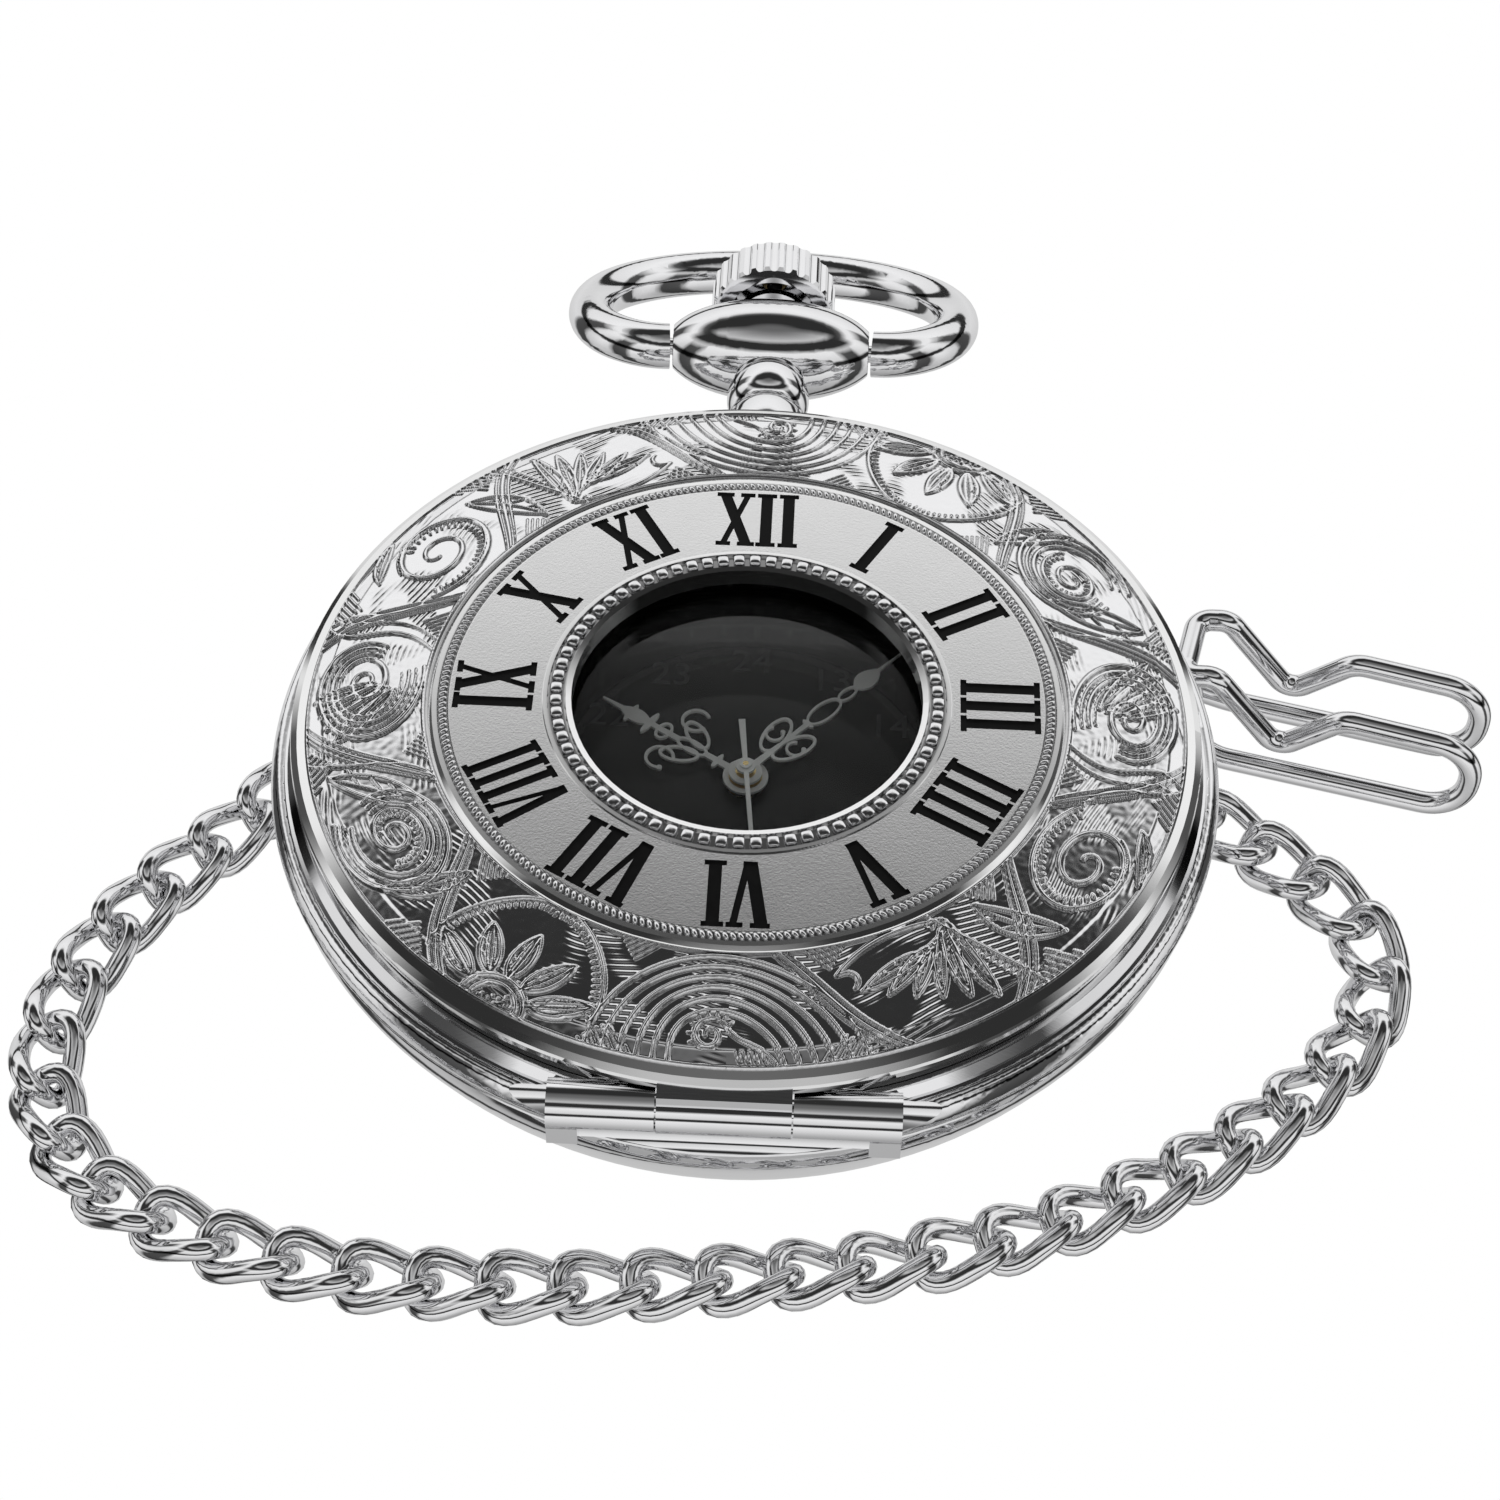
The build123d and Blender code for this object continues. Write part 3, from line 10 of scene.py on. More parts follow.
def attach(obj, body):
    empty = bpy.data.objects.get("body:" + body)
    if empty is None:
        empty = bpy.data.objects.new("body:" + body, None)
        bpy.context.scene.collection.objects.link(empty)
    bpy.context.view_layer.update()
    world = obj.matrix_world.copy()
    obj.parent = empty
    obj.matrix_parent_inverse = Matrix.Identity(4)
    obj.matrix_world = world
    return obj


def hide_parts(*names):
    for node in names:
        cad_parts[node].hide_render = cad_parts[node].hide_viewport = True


# Looks of a half-hunter pocket watch that lies on its back.
# Lengths are millimetres until MM turns them to metres.
MM = 0.001
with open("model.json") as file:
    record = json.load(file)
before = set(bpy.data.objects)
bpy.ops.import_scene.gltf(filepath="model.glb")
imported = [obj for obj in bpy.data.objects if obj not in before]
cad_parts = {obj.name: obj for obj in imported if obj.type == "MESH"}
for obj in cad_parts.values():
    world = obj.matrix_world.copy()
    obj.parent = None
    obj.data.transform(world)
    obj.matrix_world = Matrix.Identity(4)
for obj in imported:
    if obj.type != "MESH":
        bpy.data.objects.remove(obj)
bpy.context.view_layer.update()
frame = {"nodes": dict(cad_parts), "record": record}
nodes = frame["nodes"]
rng = random.Random(11)


# ---------------------------------------------------------------- camera
CAMERA_ROLL = 1.4  # the watch lies turned a little against the picture's upright


def place_camera():
    """Looks down at the dial from in front of the hinge, 48 degrees up."""
    cam = bpy.data.cameras.new("camera")
    cam.lens, cam.sensor_width, cam.clip_start, cam.clip_end = 69.29, 36.0, 0.005, 10.0
    obj = bpy.data.objects.new("camera", cam)
    bpy.context.scene.collection.objects.link(obj)
    right = Vector((0.99970, 0.01854, 0.01609)).normalized()
    ahead = Vector((-0.00022, 0.66205, -0.74946)).normalized()
    up = right.cross(ahead).normalized()
    right = ahead.cross(up)
    turn = Matrix((right, up, -ahead)).transposed().to_4x4()
    level = Matrix.Rotation(math.radians(CAMERA_ROLL), 4, "Z")
    obj.matrix_world = level @ Matrix.Translation(Vector((0.229, -95.221, 118.319)) * MM) @ turn
    bpy.context.scene.camera = obj


place_camera()


# ---------------------------------------------------------------- mesh helpers
def add_mesh(name, verts, faces, material, body, smooth=True):
    """Makes a mesh piece from points in millimetres and lets it ride on a body."""
    mesh = bpy.data.meshes.new(name)
    mesh.from_pydata([tuple(c * MM for c in v) for v in verts], [], faces)
    mesh.update()
    if smooth:
        mesh.polygons.foreach_set("use_smooth", [True] * len(mesh.polygons))
    mesh.materials.append(material)
    obj = bpy.data.objects.new(name, mesh)
    bpy.context.scene.collection.objects.link(obj)
    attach(obj, body)
    return obj


def polar(radius, clock):
    """A point at a clockwise angle from 12 o'clock, in degrees."""
    angle = math.radians(clock)
    return (radius * math.sin(angle), radius * math.cos(angle))


def tube_ring(centres, frames, radius, sides):
    """Vertices and faces of a closed round tube along given centres."""
    verts, faces = [], []
    for c, (side, top) in zip(centres, frames):
        for k in range(sides):
            a = 2 * math.pi * k / sides
            verts.append(c + side * (radius * math.cos(a)) + top * (radius * math.sin(a)))
    rings = len(centres)
    for i in range(rings):
        j = (i + 1) % rings
        for k in range(sides):
            m = (k + 1) % sides
            here, there = i * sides, j * sides
            faces.append((here + k, there + k, there + m, here + m))
    return verts, faces


# ---------------------------------------------------------------- materials
SATIN_IN, SATIN_OUT, SATIN_Z = 10.05, 14.5, 14.45  # the ring that carries the numerals
RAMP_R = 20  # the radius at the far end of a ramp across the cover or the dial


class Shader:
    """A small hand for building a node material."""

    def __init__(self, name):
        self.mat = bpy.data.materials.new(name)
        self.mat.use_nodes = True
        self.tree = self.mat.node_tree
        self.tree.nodes.clear()
        self.out = self.add("ShaderNodeOutputMaterial")
        self.bsdf = self.add("ShaderNodeBsdfPrincipled")
        self.link(self.bsdf.outputs[0], self.out.inputs["Surface"])
        self.coord = self.add("ShaderNodeTexCoord").outputs["Object"]

    def add(self, kind, **inputs):
        node = self.tree.nodes.new(kind)
        for key, value in inputs.items():
            node.inputs[key].default_value = value
        return node

    def link(self, a, b):
        self.tree.links.new(a, b)

    def math(self, operation, a, b=0.0):
        node = self.tree.nodes.new("ShaderNodeMath")
        node.operation = operation
        for socket, value in zip(node.inputs, (a, b)):
            if hasattr(value, "links"):
                self.link(value, socket)
            else:
                socket.default_value = value
        return node.outputs[0]

    def noise(self, scale, detail=4.0, stretch=None, rough=0.6):
        """Noise with its grain scale in grains per metre, stretched if asked."""
        node = self.add("ShaderNodeTexNoise", Scale=scale, Detail=detail, Roughness=rough)
        vector = self.coord
        if stretch:
            mapping = self.add("ShaderNodeMapping")
            mapping.inputs["Scale"].default_value = stretch
            self.link(vector, mapping.inputs["Vector"])
            vector = mapping.outputs[0]
        self.link(vector, node.inputs["Vector"])
        return node.outputs["Fac"]

    def ramp(self, value, *stops):
        """A colour ramp: stops are (position, grey) or (position, colour)."""
        node = self.tree.nodes.new("ShaderNodeValToRGB")
        self.link(value, node.inputs[0])
        while len(node.color_ramp.elements) < len(stops):
            node.color_ramp.elements.new(0.5)
        for element, (position, colour) in zip(node.color_ramp.elements, stops):
            element.position = position
            element.color = (colour, colour, colour, 1) if isinstance(colour, float) else (*colour, 1)
        return node.outputs["Color"]

    def remap(self, value, low, high):
        node = self.add("ShaderNodeMapRange")
        self.link(value, node.inputs["Value"])
        node.inputs["To Min"].default_value = low
        node.inputs["To Max"].default_value = high
        return node.outputs["Result"]

    def bump(self, height, strength, distance):
        node = self.add("ShaderNodeBump", Strength=strength, Distance=distance)
        self.link(height, node.inputs["Height"])
        self.link(node.outputs[0], self.bsdf.inputs["Normal"])

    def set(self, **values):
        for key, value in values.items():
            socket = self.bsdf.inputs[key.replace("_", " ")]
            if hasattr(value, "links"):
                self.link(value, socket)
            else:
                socket.default_value = value


def polished(name, colour, rough):
    """Plated metal with faint hairlines and smudges."""
    s = Shader(name)
    smudge = s.noise(260.0, 5.0)
    hair = s.noise(900.0, 3.0, stretch=(1.0, 9.0, 1.0))
    s.set(
        Base_Color=s.ramp(smudge, (0.3, tuple(c * 0.95 for c in colour)), (0.75, colour)),
        Metallic=1.0,
        Roughness=s.math("ADD", s.remap(smudge, rough * 0.6, rough * 1.5), s.remap(hair, -0.01, 0.02)),
    )
    s.bump(hair, 0.015, 0.00005)
    return s.mat


def cover_metal():
    """The cover: a satin numeral ring, polish everywhere else, and painted shade in the sunken rings round the
    beads and the rope.
    """
    s = Shader("cover_metal")
    xyz = s.add("ShaderNodeSeparateXYZ")
    s.link(s.coord, xyz.inputs[0])
    x, y, z = xyz.outputs
    radius = s.math("SQRT", s.math("ADD", s.math("MULTIPLY", x, x), s.math("MULTIPLY", y, y)))
    inside = s.math("LESS_THAN", radius, SATIN_OUT * MM)
    ring = s.math("MULTIPLY", s.math("GREATER_THAN", radius, SATIN_IN * MM), inside)
    ring = s.math("MULTIPLY", ring, s.math("GREATER_THAN", z, SATIN_Z * MM))
    grain = s.noise(9000.0, 2.0)
    cloud = s.noise(300.0, 4.0)
    satin = s.remap(cloud, 0.17, 0.23)
    shine = s.remap(cloud, 0.04, 0.09)
    elsewhere = s.math("SUBTRACT", 1.0, ring)
    mix = s.math("ADD", s.math("MULTIPLY", ring, satin), s.math("MULTIPLY", elsewhere, shine))
    channel_shade = s.ramp(
        s.math("DIVIDE", radius, RAMP_R * MM),
        (0.444, 0.86), (0.450, 0.25), (0.482, 0.25), (0.490, 0.86),  # painted shade in the channel of the beads
        (0.727, 0.86), (0.731, 0.30), (0.751, 0.30), (0.756, 0.86),  # painted shade in the sunken track of the rope
    )
    s.set(Base_Color=channel_shade, Metallic=1.0, Roughness=mix)
    s.bump(s.math("MULTIPLY", grain, s.math("ADD", ring, 0.05)), 0.12, 0.00003)
    return s.mat


def lacquer(name, colour, rough, speckle=0.1, shine=0.5):
    """Smooth paint with a little orange peel and a few specks of dust."""
    s = Shader(name)
    peel = s.noise(1500.0, 3.0)
    tint = tuple(c * (1 + speckle) + 0.004 for c in colour)
    s.set(Base_Color=s.ramp(peel, (0.35, colour), (0.8, tint)), Specular_IOR_Level=shine)
    s.set(Roughness=s.remap(peel, rough * 0.7, rough * 1.4))
    s.bump(peel, 0.04, 0.00003)
    return s.mat


def dial_face():
    """Black dial with a painted reflection: the middle disc is lighter, inside a thin brighter ring, black
    outside.
    """
    s = Shader("dial_black")
    radius = s.add("ShaderNodeVectorMath")
    radius.operation = "LENGTH"
    flat = s.add("ShaderNodeVectorMath")
    flat.operation = "MULTIPLY"
    flat.inputs[1].default_value = (1, 1, 0)
    s.link(s.coord, flat.inputs[0])
    s.link(flat.outputs[0], radius.inputs[0])
    share = s.math("DIVIDE", radius.outputs["Value"], RAMP_R * MM)
    # painted reflection: a lighter base colour on the middle disc
    disc = s.ramp(
        share, (0.0, 0.020), (0.445, 0.024), (0.452, 0.05), (0.468, 0.05), (0.474, 0.004), (1.0, 0.004)
    )
    s.set(Base_Color=disc, Roughness=s.remap(s.noise(1500.0, 3.0), 0.2, 0.3), Specular_IOR_Level=0.25)
    s.bump(s.noise(1500.0, 3.0), 0.03, 0.00003)
    return s.mat


def engraved(name, colour):
    """Plated relief whose lines are outlined by painted shade along their flanks and in the troughs of the
    ruled ground.
    """
    s = Shader(name)
    groove_shade = s.add("ShaderNodeAttribute")
    groove_shade.attribute_name = "groove_shade"
    smudge = s.noise(400.0, 4.0)
    dark = tuple(c * 0.22 for c in colour)
    shade = s.math("MULTIPLY", groove_shade.outputs["Fac"], s.remap(smudge, 0.55, 1.25))
    # painted shade: the base colour darkens along each line's flanks, by the attribute read above
    s.set(Base_Color=s.ramp(shade, (0.05, colour), (0.9, dark)), Metallic=1.0)
    s.set(Roughness=s.math("ADD", s.remap(smudge, 0.06, 0.16), s.math("MULTIPLY", groove_shade.outputs["Fac"], 0.15)))
    s.bump(s.noise(3000.0, 2.0), 0.05, 0.00003)
    return s.mat


def clear_glass(name, reflect):
    """Thin clear glass: it lets light straight through and adds a weak reflection."""
    s = Shader(name)
    s.tree.nodes.remove(s.bsdf)
    clear = s.add("ShaderNodeBsdfTransparent")
    clear.inputs["Color"].default_value = (0.984, 0.988, 0.986, 1)
    gloss = s.add("ShaderNodeBsdfGlossy", Roughness=0.01)
    gloss.inputs["Color"].default_value = (1, 1, 1, 1)
    fresnel = s.add("ShaderNodeFresnel", IOR=1.45)
    smear = s.remap(s.noise(150.0, 3.0), reflect * 0.8, reflect * 1.2)
    mix = s.add("ShaderNodeMixShader")
    s.link(s.math("MULTIPLY", fresnel.outputs[0], smear), mix.inputs[0])
    s.link(clear.outputs[0], mix.inputs[1])
    s.link(gloss.outputs[0], mix.inputs[2])
    s.link(mix.outputs[0], s.out.inputs["Surface"])
    return s.mat


def moulded(name, colour, rough):
    """Moulded plastic or rubber with a fine spark-eroded skin."""
    s = Shader(name)
    grain = s.noise(5000.0, 4.0)
    blotch = s.noise(200.0, 3.0)
    s.set(Base_Color=s.ramp(blotch, (0.3, tuple(c * 0.88 for c in colour)), (0.75, colour)))
    s.set(Roughness=s.remap(grain, rough * 0.85, min(1.0, rough * 1.15)))
    s.bump(grain, 0.15, 0.00004)
    return s.mat


def wound_copper():
    """Fine enamelled wire laid in turns along the coil."""
    s = Shader("wound_copper")
    wave = s.add("ShaderNodeTexWave", Scale=2500.0, Distortion=0.6)
    s.link(s.coord, wave.inputs["Vector"])
    turns = wave.outputs["Fac"]
    # painted shade: the colour darkens in the valleys between the turns
    s.set(Base_Color=s.ramp(turns, (0.1, (0.28, 0.10, 0.04)), (0.8, (0.72, 0.32, 0.14))))
    s.set(Metallic=0.7, Roughness=0.35)
    s.bump(turns, 0.5, 0.00004)
    return s.mat


CHROME = polished("chrome_polished", (0.86, 0.86, 0.87), 0.05)
CHROME_CHAIN = polished("chrome_links", (0.84, 0.84, 0.85), 0.07)
CHROME_RELIEF = polished("chrome_relief", (0.84, 0.84, 0.85), 0.12)
ENGRAVED = engraved("chrome_engraved", (0.86, 0.86, 0.87))
STEEL = polished("satin_steel", (0.62, 0.62, 0.63), 0.28)
BRASS = polished("plain_brass", (0.80, 0.62, 0.30), 0.25)
IRON = polished("soft_iron", (0.42, 0.42, 0.43), 0.35)
COVER = cover_metal()
ENAMEL = lacquer("black_enamel", (0.002, 0.002, 0.002), 0.35, shine=0.12)
DIAL = dial_face()
HAND = lacquer("hand_grey", (0.80, 0.80, 0.79), 0.45)
PRINT = lacquer("dial_print", (0.05, 0.05, 0.052), 0.5)
PRINT_WHITE = lacquer("dial_print_white", (0.62, 0.62, 0.60), 0.5)
GLASS = clear_glass("crystal_glass", 0.06)
WHITE_PLASTIC = moulded("white_acetal", (0.80, 0.80, 0.77), 0.55)
RUBBER = moulded("black_rubber", (0.02, 0.02, 0.02), 0.8)
BOARD = moulded("board_green", (0.03, 0.18, 0.08), 0.4)
CHIP = moulded("chip_black", (0.02, 0.02, 0.02), 0.6)
COPPER = wound_copper()

BY_SLOT = {
    "steel_polished": CHROME, "steel_satin": STEEL, "black_enamel": ENAMEL, "crystal_glass": GLASS,
    "dial_black": DIAL, "hand_white": HAND, "brass_plain": BRASS, "rubber_black": RUBBER,
    "plastic_white": WHITE_PLASTIC, "board_green": BOARD, "chip_black": CHIP, "copper_wire": COPPER,
    "soft_iron": IRON,
}
BY_NODE = {
    "front_cover": COVER, "belt_clip": CHROME_CHAIN, "clip_ring": CHROME_CHAIN, "clasp_ring": CHROME_CHAIN,
}
slot_of = {part["node"]: part["material_slot"] for part in frame["record"]["subparts"]}
for node_name, node_obj in nodes.items():
    chosen = BY_NODE.get(node_name) or BY_SLOT[slot_of[node_name]]
    node_obj.data.materials.clear()
    node_obj.data.materials.append(chosen)


# ---------------------------------------------------------------- chain
CHAIN_Z = 1.25
CHAIN_ROUTE = [
    (19.5, 13.9), (19.9, 10.4), (21.6, 7.3), (24.3, 4.6), (27.3, 2.3), (30.9, -0.9), (32.8, -4.8),
    (31.2, -9.8), (25.9, -15.3), (18.9, -19.8), (10.4, -23.2), (1.5, -24.8), (-7.3, -25.8), (-16.0, -25.8),
    (-24.3, -24.2), (-30.8, -21.0), (-34.0, -15.2), (-33.2, -8.5), (-29.8, -2.7), (-25.7, 1.8), (-23.1, 6.8),
    (-21.0, 12.4), (-17.1, 18.3), (-11.6, 23.1), (-4.8, 26.3), (2.7, 27.0), (9.6, 25.2),
]
LINK_PITCH = 3.3
LINK_HALF, LINK_WIDE = 2.14, 1.3  # half length and half width of a link's wire line
LINK_WIRE, LINK_TWIST = 0.53, -0.62
END_GAP = 0.6  # from the line's ends to the first and last link
LINK_ROLL, ROLL_SPREAD = 14, 6  # degrees


def route_points():
    """Points along the smooth line through the chain, read from its NURBS curve."""
    data = bpy.data.curves.new("chain_line", "CURVE")
    data.dimensions = "3D"
    spline = data.splines.new("NURBS")
    spline.points.add(len(CHAIN_ROUTE) - 1)
    for point, (x, y) in zip(spline.points, CHAIN_ROUTE):
        point.co = (x * MM, y * MM, CHAIN_Z * MM, 1)
    spline.order_u = 3
    spline.use_endpoint_u = True
    spline.resolution_u = 24
    obj = bpy.data.objects.new("chain_line", data)
    mesh = bpy.data.meshes.new_from_object(obj)
    line = [v.co.copy() for v in mesh.vertices]
    bpy.data.objects.remove(obj)
    bpy.data.meshes.remove(mesh)
    return line


def along(line, distance):
    """The place and heading on a line at a distance from its start."""
    for a, b in zip(line, line[1:]):
        step = (b - a).length
        if distance <= step:
            return a.lerp(b, distance / step), (b - a).normalized()
        distance -= step
    return line[-1], (line[-1] - line[-2]).normalized()


def curb_link(segments, sides):
    """One twisted link about the origin, its length on X, in millimetres."""
    centres = []
    for i in range(segments):
        t = 2 * math.pi * i / segments
        c, s = math.cos(t), math.sin(t)
        squeeze = (abs(c) ** 2.6 + abs(s) ** 2.6) ** (-1 / 2.6)
        centres.append(
            Vector((LINK_HALF * c * squeeze, LINK_WIDE * s * squeeze, LINK_TWIST * math.sin(2 * t)))
        )
    frames = []
    for i, centre in enumerate(centres):
        heading = (centres[(i + 1) % segments] - centres[i - 1]).normalized()
        outward = Vector((centre.x * 0.6, centre.y, 0)).normalized()
        side = (outward - heading * outward.dot(heading)).normalized()
        frames.append((side, heading.cross(side)))
    return tube_ring(centres, frames, LINK_WIRE, sides)


def make_chain():
    line = route_points()
    total = sum((b - a).length for a, b in zip(line, line[1:])) / MM
    count = int((total - 2 * END_GAP) / LINK_PITCH)
    pitch = (total - 2 * END_GAP) / count
    shape, loops = curb_link(36, 12)
    verts, faces = [], []
    for k in range(count):
        place, heading = along(line, (END_GAP + (k + 0.5) * pitch) * MM)
        across = Vector((-heading.y, heading.x, 0))
        roll = math.radians(LINK_ROLL + rng.uniform(-ROLL_SPREAD, ROLL_SPREAD))
        side = across * math.cos(roll) + Vector((0, 0, 1)) * math.sin(roll)
        top = heading.cross(side)
        base = len(verts)
        for v in shape:
            verts.append(place / MM + heading * v.x + side * v.y + top * v.z)
        faces += [tuple(base + i for i in f) for f in loops]
    low = min(v.z for v in verts)
    verts = [Vector((v.x, v.y, v.z - low + 0.02)) for v in verts]
    chain = add_mesh("chain_links", verts, faces, CHROME_CHAIN, "case")
    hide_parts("chain")
    print("chain, mm:", round(total, 1), "links:", count)


make_chain()


# ---------------------------------------------------------------- engraved cover
FIELD_IN, FIELD_OUT = 15.62, 21.6
FIELD_MID = (FIELD_IN + FIELD_OUT) / 2
FIELD_GROWN = 1.17  # the ornament is drawn on a field 4.84 mm high


def cover_z(radius):
    """Height of the cover's sloping field and of its bevel."""
    if radius <= 20.6:
        return 14.38 + (radius - 15.8) * (13.85 - 14.38) / (20.6 - 15.8)
    if radius <= 20.72:
        return 13.85 + (radius - 20.6) * (13.76 - 13.85) / 0.12
    return 13.76 + (radius - 20.72) * (13.4 - 13.76) / (21.95 - 20.72)


class Strokes:
    """Ornament lines on the flattened field: u runs clockwise in mm at mid radius, v outwards."""

    def __init__(self):
        self.points = []
        self.centre, self.stretch = 0.0, 1.0

    def about(self, centre, stretch):
        """Lines from here on are stretched sideways about a centre."""
        self.centre, self.stretch = centre, stretch

    def line(self, path, half, rise=0.11, taper=True):
        """A raised line through the points of a path, thinner at its ends."""
        path = [(self.centre + (x - self.centre) * self.stretch, y * FIELD_GROWN) for x, y in path]
        lengths = [0.0]
        for (x0, y0), (x1, y1) in zip(path, path[1:]):
            lengths.append(lengths[-1] + math.hypot(x1 - x0, y1 - y0))
        total = lengths[-1]
        if total < 1e-6:
            return
        for i, ((x0, y0), (x1, y1)) in enumerate(zip(path, path[1:])):
            steps = max(1, int((lengths[i + 1] - lengths[i]) / 0.035))
            for k in range(steps):
                f = k / steps
                along_share = (lengths[i] + f * (lengths[i + 1] - lengths[i])) / total
                swell = 1.0
                if taper:
                    swell = 0.45 + 0.55 * math.sin(math.pi * min(max(along_share, 0.04), 0.96)) ** 0.6
                x, y = x0 + f * (x1 - x0), y0 + f * (y1 - y0)
                self.points.append((x, y, half * swell, rise * (0.6 + 0.4 * swell)))

    def curve(self, controls, half, rise=0.11, count=28):
        """A raised line along a Bezier curve."""
        path = []
        n = len(controls) - 1
        for i in range(count + 1):
            t = i / count
            x = sum(math.comb(n, k) * (1 - t) ** (n - k) * t**k * p[0] for k, p in enumerate(controls))
            y = sum(math.comb(n, k) * (1 - t) ** (n - k) * t**k * p[1] for k, p in enumerate(controls))
            path.append((x, y))
        self.line(path, half, rise)
        return path

    def spiral(self, cu, cv, r_out, r_in, start, turns, half, rise=0.12):
        """A volute from its rim in to its eye, angles in degrees, turns signed."""
        path = []
        count = int(abs(turns) * 40)
        for i in range(count + 1):
            f = i / count
            r = r_out + (r_in - r_out) * f**0.85
            a = math.radians(start + 360 * turns * f)
            path.append((cu + r * math.cos(a), cv + r * math.sin(a)))
        self.line(path, half, rise)
        return path

    def comb(self, path, every, length, half=0.055, rise=0.09):
        """Short ticks that stand off a path on its left, or on its right if length is negative."""
        travelled, due = 0.0, every * 0.5
        for (x0, y0), (x1, y1) in zip(path, path[1:]):
            step = math.hypot(x1 - x0, y1 - y0)
            while step > 0 and travelled + step >= due:
                f = (due - travelled) / step
                nx, ny = -(y1 - y0) / step, (x1 - x0) / step
                px, py = x0 + f * (x1 - x0), y0 + f * (y1 - y0)
                foot = (px + nx * length * 0.35, py + ny * length * 0.35)
                self.line([foot, (px + nx * length, py + ny * length)], half, rise)
                due += every
            travelled += step

    def leaf(self, base, tip, bulge, half=0.09, veins=3):
        """A leaf with a rib and veins, bulging to one side."""
        bx, by = base
        dx, dy = tip[0] - bx, tip[1] - by
        nx, ny = -dy, dx
        for side in (bulge, -0.35 * bulge):
            low = (bx + 0.35 * dx + side * nx, by + 0.35 * dy + side * ny)
            high = (bx + 0.8 * dx + 0.5 * side * nx, by + 0.8 * dy + 0.5 * side * ny)
            self.curve([base, low, high, tip], half)
        middle = (bx + 0.5 * dx + 0.3 * bulge * nx, by + 0.5 * dy + 0.3 * bulge * ny)
        rib = self.curve([base, middle, tip], half * 0.7, 0.08)
        for k in range(1, veins + 1):
            px, py = rib[int(len(rib) * k / (veins + 1.5))]
            end = (px + 0.18 * dx + 0.42 * bulge * nx, py + 0.18 * dy + 0.42 * bulge * ny)
            self.line([(px, py), end], half * 0.55, 0.07)

    def hatch(self, corners, gap=0.26, angle=35, half=0.05):
        """Parallel lines that fill a triangle."""
        a = math.radians(angle)
        ax, ay = math.cos(a), math.sin(a)
        offsets = [-x * ay + y * ax for x, y in corners]
        level = min(offsets) + gap / 2
        while level < max(offsets):
            hits = []
            for (x0, y0), (x1, y1) in zip(corners, corners[1:] + corners[:1]):
                d0, d1 = -x0 * ay + y0 * ax - level, -x1 * ay + y1 * ax - level
                if d0 * d1 < 0:
                    f = d0 / (d0 - d1)
                    hits.append((x0 + f * (x1 - x0), y0 + f * (y1 - y0)))
            if len(hits) == 2:
                self.line(hits, half, 0.07, taper=False)
            level += gap


